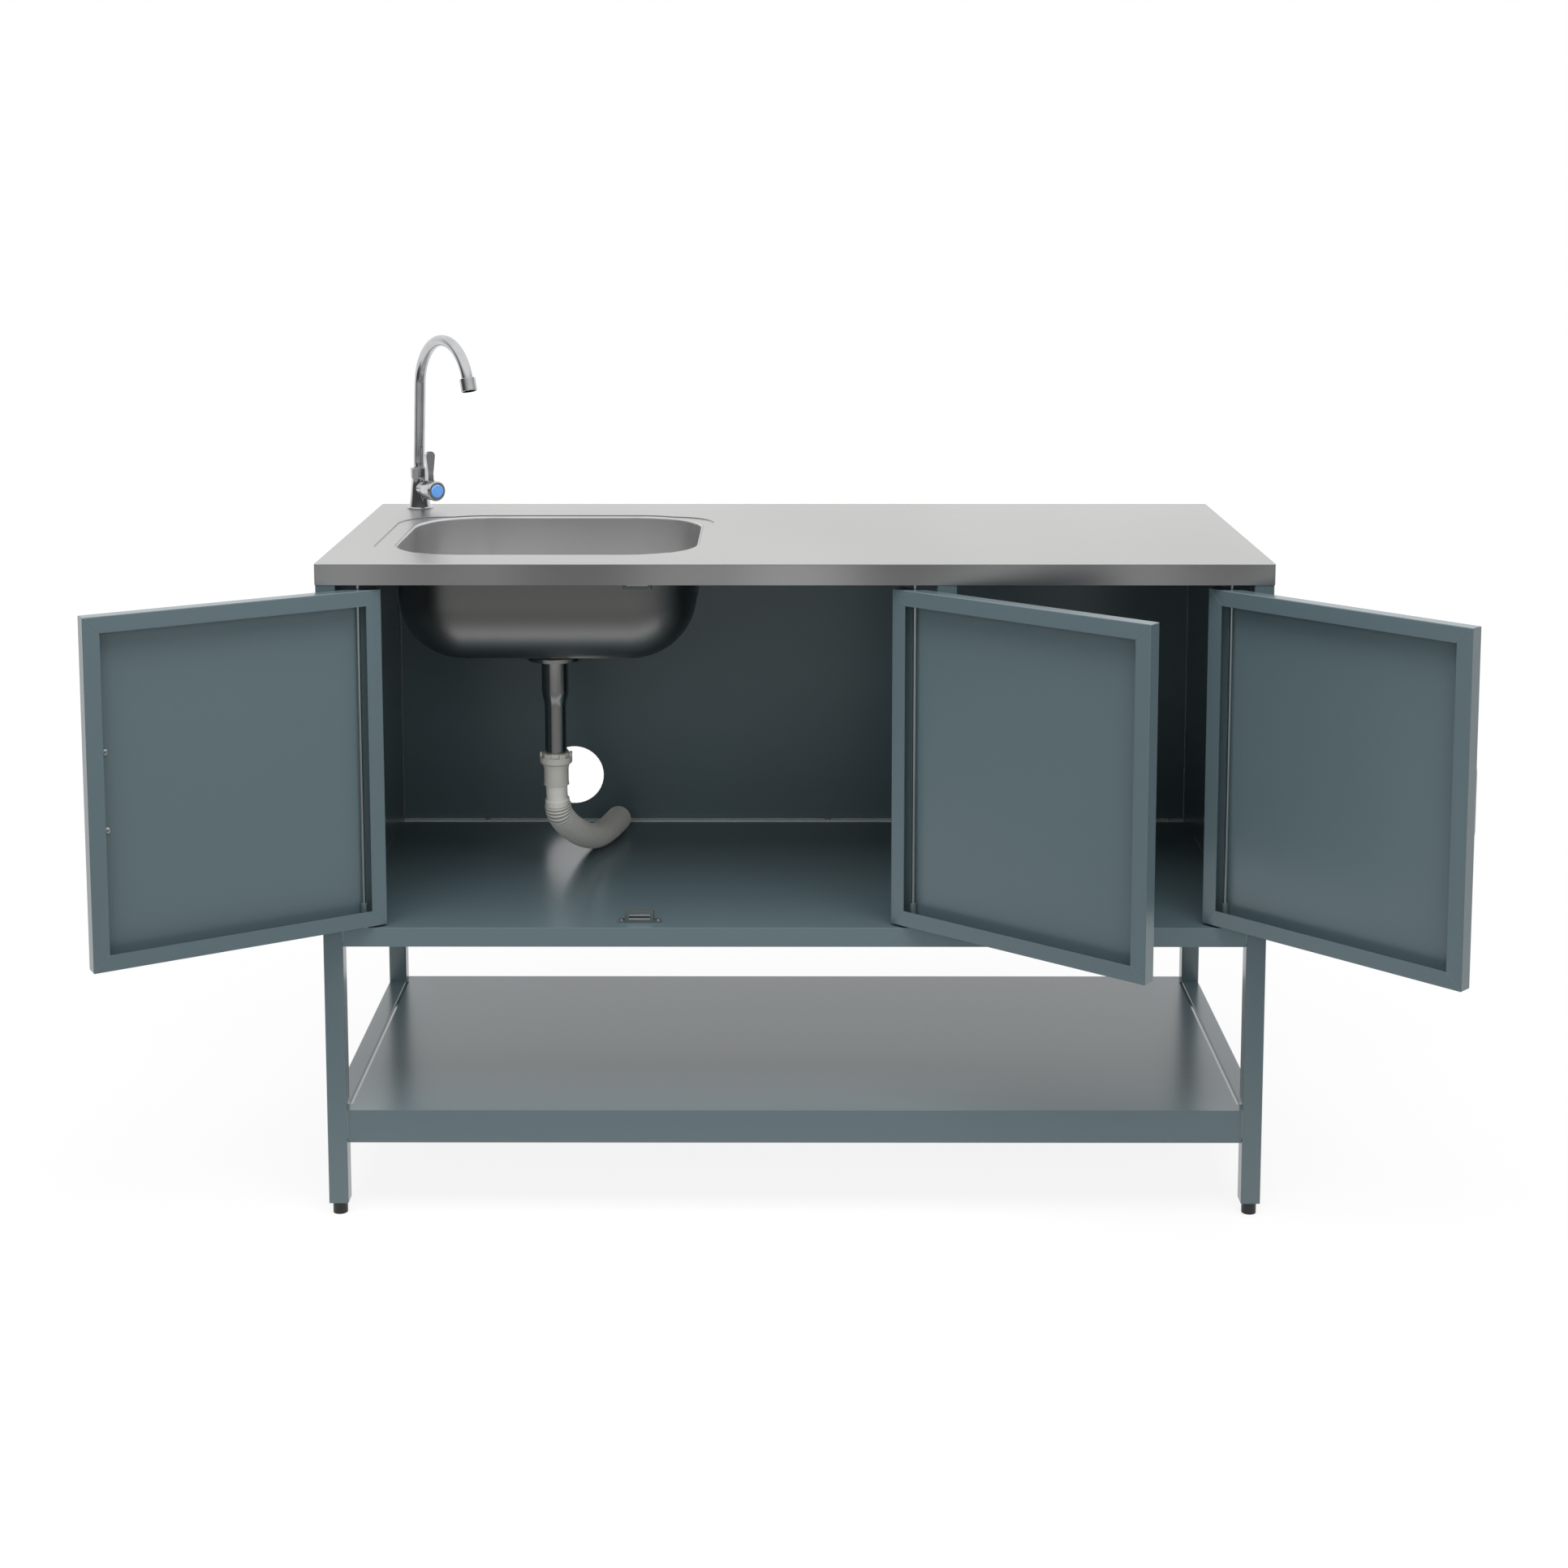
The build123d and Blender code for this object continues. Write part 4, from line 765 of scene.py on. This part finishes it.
# ------------------------------------------------------------ waste tube
# A drawn stainless tube, belt-polished along its length and necked down to the pipe that enters the
# coupling. The fine upright scratches soften what its bright surface mirrors.
waste_centre = (-0.323, -0.024)
cup_floor = 0.6803
tube_radius = 0.0182
pipe_radius = 0.0145
tube_wall = 0.0008
tube_shoulder = 0.6370
tube_neck = 0.6150
pipe_end = 0.5250
neck_steps = 8


def smooth_mesh(name, shape):
    """A smooth mesh of a bmesh shape with its faces turned outwards. The shape is freed."""
    bmesh.ops.recalc_face_normals(shape, faces=shape.faces)
    mesh = bpy.data.meshes.new(name)
    shape.to_mesh(mesh)
    shape.free()
    mesh.shade_smooth()
    return mesh


def turned(name, outline, material):
    """A closed ring: an outline of (radius, height) pairs turned about the waste's upright axis."""
    sides = 96
    centre_x, centre_y = waste_centre
    shape = bmesh.new()
    rings = []
    for number in range(sides):
        angle = 2 * pi * number / sides
        rings.append([
            shape.verts.new((centre_x + radius * cos(angle), centre_y + radius * sin(angle), height))
            for radius, height in outline
        ])
    for number in range(sides):
        here = rings[number]
        there = rings[(number + 1) % sides]
        for place in range(len(outline)):
            after = (place + 1) % len(outline)
            shape.faces.new((here[place], there[place], there[after], here[after]))
    mesh = smooth_mesh(name, shape)
    mesh.materials.append(material)
    piece = new_piece(name, mesh)
    round_edges(piece, width=0.0004, segments=2, least_turn=25)
    return piece


neck_line = []
for number in range(neck_steps + 1):
    share = number / neck_steps
    ease = (1 - cos(pi * share)) / 2
    radius = tube_radius + (pipe_radius - tube_radius) * ease
    height = tube_shoulder + (tube_neck - tube_shoulder) * share
    neck_line.append((radius, height))
tube_outside = [(tube_radius, cup_floor), *neck_line, (pipe_radius, pipe_end)]
tube_inside = [(radius - tube_wall, height) for radius, height in reversed(tube_outside)]
tube_steel = worked_metal("tube_stainless_polished", "B2B2B0", "C6C6C4", roughness=0.20,
                          streak=(60.0, 60.0, 2.0), scratch=(700.0, 700.0, 8.0), strength=0.10)
waste_tube = turned("waste_tube_drawn", tube_outside + tube_inside, tube_steel)
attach(waste_tube, "frame")
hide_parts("waste_tube")


# ------------------------------------------------------------ coupling
# A grey polypropylene nut with six gripping lugs squeezes a seal onto the pipe. It screws on a moulded
# sleeve with a raised band at each end, which takes the hose's cuff from below. The mould gives both a
# soft, even shine.
sleeve_bottom = 0.5067
sleeve_top = 0.5349
sleeve_radius = 0.0173
sleeve_web = 0.5220
cuff_seat = 0.01455
pipe_seat = 0.01455
web_bore = 0.0126
band = 0.0022
band_step = 0.0006
nut_radius = 0.02175
nut_foot_radius = 0.01875
nut_taper = 0.0030
nut_rim = 0.5458
nut_top = 0.5518
nut_neck_radius = 0.0180
grey_plastic = moulded("polypropylene_grey_moulded", "C3C1BA", "CFCDC7", roughness=0.42, ior=1.49,
                       grain_scale=900.0, strength=0.10)

sleeve = turned("coupling_sleeve_moulded", [
    (cuff_seat, sleeve_bottom),
    (sleeve_radius, sleeve_bottom),
    (sleeve_radius, sleeve_bottom + band),
    (sleeve_radius - band_step, sleeve_bottom + band),
    (sleeve_radius - band_step, sleeve_top - 2 * band),
    (sleeve_radius, sleeve_top - 2 * band),
    (sleeve_radius, sleeve_top),
    (pipe_seat, sleeve_top),
    (pipe_seat, pipe_end),
    (web_bore, pipe_end),
    (web_bore, sleeve_web),
    (cuff_seat, sleeve_web),
], grey_plastic)
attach(sleeve, "frame")
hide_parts("coupling_sleeve")

nut_sizes = {
    "Lug count": 6,
    "Lug radius": 0.0199,
    "Lug width": 0.0092,
    "Lug depth": 0.0034,
    "Lug height": 0.0066,
    "Lug level": 0.5486,
    "Centre X": waste_centre[0],
    "Centre Y": waste_centre[1],
}
nut_seed = turned("coupling_nut_ring", [
    (pipe_seat, sleeve_top),
    (nut_foot_radius, sleeve_top),
    (nut_radius, sleeve_top + nut_taper),
    (nut_radius, nut_rim),
    (nut_neck_radius, nut_rim),
    (nut_neck_radius, nut_top),
    (pipe_seat, nut_top),
], grey_plastic)
nut_ring_mesh = bpy.data.meshes.new_from_object(
    nut_seed.evaluated_get(bpy.context.evaluated_depsgraph_get()))
bpy.data.objects.remove(nut_seed)

tree, size, group_out = new_tree("nut_lugs", nut_sizes)
lug_ring = add_node(tree, "GeometryNodeMeshCircle", [("Radius", size["Lug radius"])])
count = add_node(tree, "FunctionNodeFloatToInt", [(0, size["Lug count"])])
tree.links.new(count.outputs[0], lug_ring.inputs["Vertices"])
spot = add_node(tree, "GeometryNodeInputPosition")
spot_axes = add_node(tree, "ShaderNodeSeparateXYZ", [(0, spot.outputs[0])])
facing = add_node(tree, "ShaderNodeMath", [(0, spot_axes.outputs["Y"]), (1, spot_axes.outputs["X"])],
                  operation="ARCTAN2")
turn = add_node(tree, "ShaderNodeCombineXYZ", [("Z", facing.outputs[0])])
lug_size = add_node(tree, "ShaderNodeCombineXYZ", [
    ("X", size["Lug depth"]),
    ("Y", size["Lug width"]),
    ("Z", size["Lug height"]),
])
lug = add_node(tree, "GeometryNodeMeshCube", [
    ("Size", lug_size.outputs[0]),
    ("Vertices X", 3),
    ("Vertices Y", 5),
    ("Vertices Z", 3),
])
soft_lug = add_node(tree, "GeometryNodeSubdivisionSurface", [
    ("Mesh", lug.outputs[0]),
    ("Level", 1),
    ("Edge Crease", 0.3),
])
lugs = add_node(tree, "GeometryNodeInstanceOnPoints", [
    ("Points", lug_ring.outputs[0]),
    ("Instance", soft_lug.outputs[0]),
    ("Rotation", turn.outputs[0]),
])
centre = add_node(tree, "ShaderNodeCombineXYZ", [
    ("X", size["Centre X"]),
    ("Y", size["Centre Y"]),
    ("Z", size["Lug level"]),
])
placed = add_node(tree, "GeometryNodeTransform", [
    ("Geometry", lugs.outputs[0]),
    ("Translation", centre.outputs[0]),
])
real = add_node(tree, "GeometryNodeRealizeInstances", [(0, placed.outputs[0])])
smooth = add_node(tree, "GeometryNodeSetShadeSmooth", [(0, real.outputs[0])])
both = add_node(tree, "GeometryNodeJoinGeometry")
tree.links.new(size["Geometry"], both.inputs[0])
tree.links.new(smooth.outputs[0], both.inputs[0])
coloured = add_node(tree, "GeometryNodeSetMaterial", [
    ("Geometry", both.outputs[0]),
    ("Material", grey_plastic),
])
tree.links.new(coloured.outputs[0], group_out.inputs[0])
nut = grow_piece("coupling_nut_lugged", tree, nut_sizes, nut_ring_mesh)
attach(nut, "frame")
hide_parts("coupling_nut")


# ------------------------------------------------------------ tap
# A cast brass tap, polished and chromium plated: a flared body with a side valve, a faceted nut that holds
# the swivel spout of bent tube, and a round handle with an upright lever. The plating is a mirror that
# shows the room in bright and dark bands.
chrome = worked_metal("brass_chrome_plated", "BEC0C2", "C6C8CA", roughness=0.07,
                      streak=(40.0, 40.0, 40.0), scratch=(300.0, 300.0, 300.0), strength=0.0)
finish_node(chrome, "aerator")
for name, node, width, body in (
    ("tap_body_cast", "tap_body", 0.0007, "frame"),
    ("spout_nut_faceted", "spout_nut", 0.0012, "frame"),
    ("tap_lever_cast", "tap_lever", 0.0016, "tap_handle"),
):
    rounded_copy(name, node, width, body, material=chrome)

# The spout rises from its nut, leans forward, runs straight and arches over. The turns are in degrees.
tap_centre = Vector((-0.5384, 0.2169, 0.0))
tap_turn = 37
tap_forward = Vector((sin(radians(tap_turn)), -cos(radians(tap_turn)), 0))
spout_foot = 0.8803
spout_upright = 0.038
spout_lean = 3.4
spout_lean_radius = 0.160
spout_slope = 0.103
spout_arch_radius = 0.070
spout_arch_end = 163
spout_tip = 0.004
bend_steps = 72
spout_sizes = {"Tube radius": 0.008, "Wall": 0.001}

spout_line = [(0.0, spout_foot), (0.0, spout_foot + spout_upright)]
heading = 0.0
for radius, turned_by, run_after in (
    (spout_lean_radius, spout_lean, spout_slope),
    (spout_arch_radius, spout_arch_end - spout_lean, spout_tip),
):
    start_reach, start_height = spout_line[-1]
    for number in range(1, bend_steps + 1):
        angle = heading + radians(turned_by) * number / bend_steps
        reach = start_reach + radius * (cos(heading) - cos(angle))
        height = start_height + radius * (sin(angle) - sin(heading))
        spout_line.append((reach, height))
    heading += radians(turned_by)
    spout_line.append((reach + run_after * sin(heading), height + run_after * cos(heading)))

spout_mesh = bpy.data.meshes.new("spout_line")
spout_mesh.from_pydata(
    [tap_centre + reach * tap_forward + Vector((0, 0, height)) for reach, height in spout_line],
    [(number, number + 1) for number in range(len(spout_line) - 1)], [])
tree, size, group_out = new_tree("bent_tube", spout_sizes)
line = add_node(tree, "GeometryNodeMeshToCurve", [("Mesh", size["Geometry"])])
ring = add_node(tree, "GeometryNodeCurvePrimitiveCircle", [
    ("Resolution", 64),
    ("Radius", size["Tube radius"]),
])
skin = add_node(tree, "GeometryNodeCurveToMesh", [
    ("Curve", line.outputs[0]),
    ("Profile Curve", ring.outputs[0]),
])
end_tube(tree, skin.outputs[0], size["Wall"], chrome, group_out)
spout = grow_piece("spout_bent_tube", tree, spout_sizes, spout_mesh)
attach(spout, "spout")
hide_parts("spout_tube")

# A glossy cap of blue acrylic marks the handle. Under the worktop the tap is held by zinc-plated steel,
# whose plating is pale, even and dull.
blue_plastic = moulded("acrylic_blue_moulded", "5E9BE6", "77B0F2", roughness=0.18, ior=1.49,
                       grain_scale=300.0, strength=0.02)
finish_node(blue_plastic, "index_cap")
plated_steel = worked_metal("steel_zinc_plated", "CDCFCE", "DFE1E0", roughness=0.42,
                            streak=(90.0, 90.0, 90.0), scratch=(900.0, 900.0, 900.0), strength=0.08)
finish_node(plated_steel, "tap_washer", "tap_locknut")


# ------------------------------------------------------------ feet
# Each levelling foot is a black polypropylene disc moulded on a steel stud, which screws into the plug in
# the leg. The mould leaves the disc smooth and nearly black.
finish_node(black_plastic, "foot_front_left", "foot_front_right", "foot_rear_left", "foot_rear_right")


# ------------------------------------------------------------ door pivots
# Each door hangs on a straight rod of bright drawn steel. It stands in a bush of white moulded nylon in the
# cupboard floor, and a nylon collar, sprayed over with the door, grips it at the door's foot.
white_nylon = moulded("nylon_white_moulded", "C4C8C6", "D2D6D4", roughness=0.45, ior=1.53,
                      grain_scale=800.0, strength=0.10)
finish_node(white_nylon, "pivot_bushes")
finish_node(coat, "pivot_collar_left", "pivot_collar_middle", "pivot_collar_right")
rod_steel = worked_metal("steel_drawn_rod", "D6DAD9", "E2E6E5", roughness=0.30,
                         streak=(90.0, 90.0, 6.0), scratch=(900.0, 900.0, 20.0), strength=0.08)
finish_node(rod_steel, "pivot_rod_left", "pivot_rod_middle", "pivot_rod_right")


# ------------------------------------------------------------ magnetic catches
# A dark housing of moulded glass-filled nylon holds a ferrite magnet between two pole strips of bright
# rolled steel. The glass fibre makes the housing dull, and the strips are the brightest lines on it.
catch_nylon = moulded("nylon_grey_glass_filled", "4A5455", "566061", roughness=0.50, ior=1.53,
                      grain_scale=900.0, strength=0.15)
ferrite = moulded("ferrite_sintered", "26282A", "303234", roughness=0.55, ior=1.6, grain_scale=1200.0,
                  strength=0.2)
pole_steel = worked_metal("steel_bright_rolled", "F0F0EF", "F6F6F5", roughness=0.55,
                          streak=(60.0, 60.0, 60.0), scratch=(900.0, 90.0, 900.0), strength=0.05)
finish_node(catch_nylon, "catch_housing_lower", "catch_housing_upper")
finish_node(ferrite, "catch_magnets")
finish_node(pole_steel, "catch_poles")


# ------------------------------------------------------------ screws
# Zinc-plated pan-head screws with a cross recess: three hold the back panel's hem, two hold each catch and
# two hold each handle. The recess is pressed in, and the head is drawn with a shallow dome.
screw_sizes = {"Head scale": 1.0}
screw_sides = 32
tip_radius_share = 0.4
tip_start_share = 0.9
dome_steps = 5
dome_angle = pi / 2 * 0.78
rim_share = 0.25
recess_waist = 0.13
recess_arm = 0.42
recess_floor_share = 0.55
recess_floor_height = 0.45


def screw_blank(name, head_radius, head_height, shank_radius, shank_length):
    """One screw along Z, with the underside of its head at the origin."""
    profile = [
        (shank_radius * tip_radius_share, -shank_length),
        (shank_radius, -shank_length * tip_start_share),
        (shank_radius, 0.0),
        (head_radius, 0.0),
    ]
    for step in range(dome_steps + 1):
        angle = dome_angle * step / dome_steps
        dome = rim_share + (1 - rim_share) * sin(angle) / sin(dome_angle)
        profile.append((head_radius * cos(angle), head_height * dome))
    angles = [2 * pi * side / screw_sides for side in range(screw_sides)]
    shape = bmesh.new()
    rings = []
    for radius, height in profile:
        rings.append([
            shape.verts.new((radius * cos(angle), radius * sin(angle), height))
            for angle in angles
        ])
    for share, height in ((1.0, head_height), (recess_floor_share, head_height * recess_floor_height)):
        ring = []
        for angle in angles:
            reach = head_radius * share * (recess_waist + recess_arm * abs(cos(2 * angle)) ** 3)
            ring.append(shape.verts.new((reach * cos(angle), reach * sin(angle), height)))
        rings.append(ring)
    for lower, upper in zip(rings, rings[1:]):
        for side in range(screw_sides):
            after = (side + 1) % screw_sides
            shape.faces.new((lower[side], lower[after], upper[after], upper[side]))
    shape.faces.new(rings[-1])
    shape.faces.new(list(reversed(rings[0])))
    mesh = smooth_mesh(name, shape)
    mesh.set_sharp_from_angle(angle=radians(40))
    return new_piece(name, mesh)


def set_screws(name, blank, places, body, nodes):
    """Sets a screw at each (place, direction) and makes them one piece that replaces the CAD screws."""
    seed_mesh = bpy.data.meshes.new(name + "_places")
    seed_mesh.from_pydata([place for place, direction in places], [], [])
    turns = seed_mesh.attributes.new("turn", "FLOAT_VECTOR", "POINT")
    for number, (place, direction) in enumerate(places):
        turns.data[number].vector = Vector(direction).to_track_quat("Z", "X").to_euler()
    tree, size, group_out = new_tree("screw_setter", screw_sizes)
    turn = add_node(tree, "GeometryNodeInputNamedAttribute", [("Name", "turn")], data_type="FLOAT_VECTOR")
    screw = add_node(tree, "GeometryNodeObjectInfo", [("Object", blank)])
    grown = add_node(tree, "ShaderNodeCombineXYZ", [(axis, size["Head scale"]) for axis in "XYZ"])
    placed = add_node(tree, "GeometryNodeInstanceOnPoints", [
        ("Points", size["Geometry"]),
        ("Instance", screw.outputs["Geometry"]),
        ("Rotation", turn.outputs["Attribute"]),
        ("Scale", grown.outputs[0]),
    ])
    end_tree(tree, placed.outputs[0], plated_steel, group_out)
    piece = grow_piece(name, tree, screw_sizes, seed_mesh)
    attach(piece, body)
    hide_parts(*nodes)


back_blank = screw_blank("back_screw_blank", head_radius=0.0040, head_height=0.0024,
                         shank_radius=0.0019, shank_length=0.0090)
back_y = 0.242
back_level = 0.3825
back_row = [((x, back_y, back_level), (0, 0, 1)) for x in (-0.450, 0.050, 0.550)]
set_screws("back_panel_pan_screws", back_blank, back_row, "frame", ["back_panel_screws"])

catch_blank = screw_blank("catch_screw_blank", head_radius=0.0028, head_height=0.0016,
                          shank_radius=0.0014, shank_length=0.0050)
catch_middle = -0.19805
catch_reach = 0.02315
catch_y = -0.2306
lower_catch_face = 0.3831
upper_catch_face = 0.8274
catch_row = []
for height, way in ((lower_catch_face, 1), (upper_catch_face, -1)):
    for shift in (-catch_reach, catch_reach):
        catch_row.append(((catch_middle + shift, catch_y, height), (0, 0, way)))
set_screws("catch_pan_screws", catch_blank, catch_row, "frame", ["catch_screws"])

handle_blank = screw_blank("handle_screw_blank", head_radius=0.0040, head_height=0.0024,
                           shank_radius=0.0016, shank_length=0.0120)
handle_from_edge = 0.346
handle_centres = 0.096
skin_inside = -0.0055
for word, (pivot_x, side, opened, width) in door_layout.items():
    along, inward = door_directions(side, opened)
    middle = Vector((pivot_x, pivot_y, door_bottom + door_height / 2))
    middle += (handle_from_edge - pivot_to_edge) * along + skin_inside * inward
    pair = [(middle + Vector((0, 0, shift)), inward) for shift in (-handle_centres / 2, handle_centres / 2)]
    set_screws(f"handle_pan_screws_{word}", handle_blank, pair, f"door_{word}", [f"handle_screws_{word}"])
for blank in (back_blank, catch_blank, handle_blank):
    bpy.data.objects.remove(blank)


# ------------------------------------------------------------ handles
# Bow handles bent from solid steel rod and plated to a satin nickel, each held by two screws from inside
# its door. The nickel is a warm grey with a soft shine.
nickel = worked_metal("steel_satin_nickel", "B4B2AD", "C2C0BB", roughness=0.28,
                      streak=(60.0, 60.0, 60.0), scratch=(700.0, 700.0, 60.0), strength=0.10)
finish_node(nickel, "handle_left", "handle_middle", "handle_right")
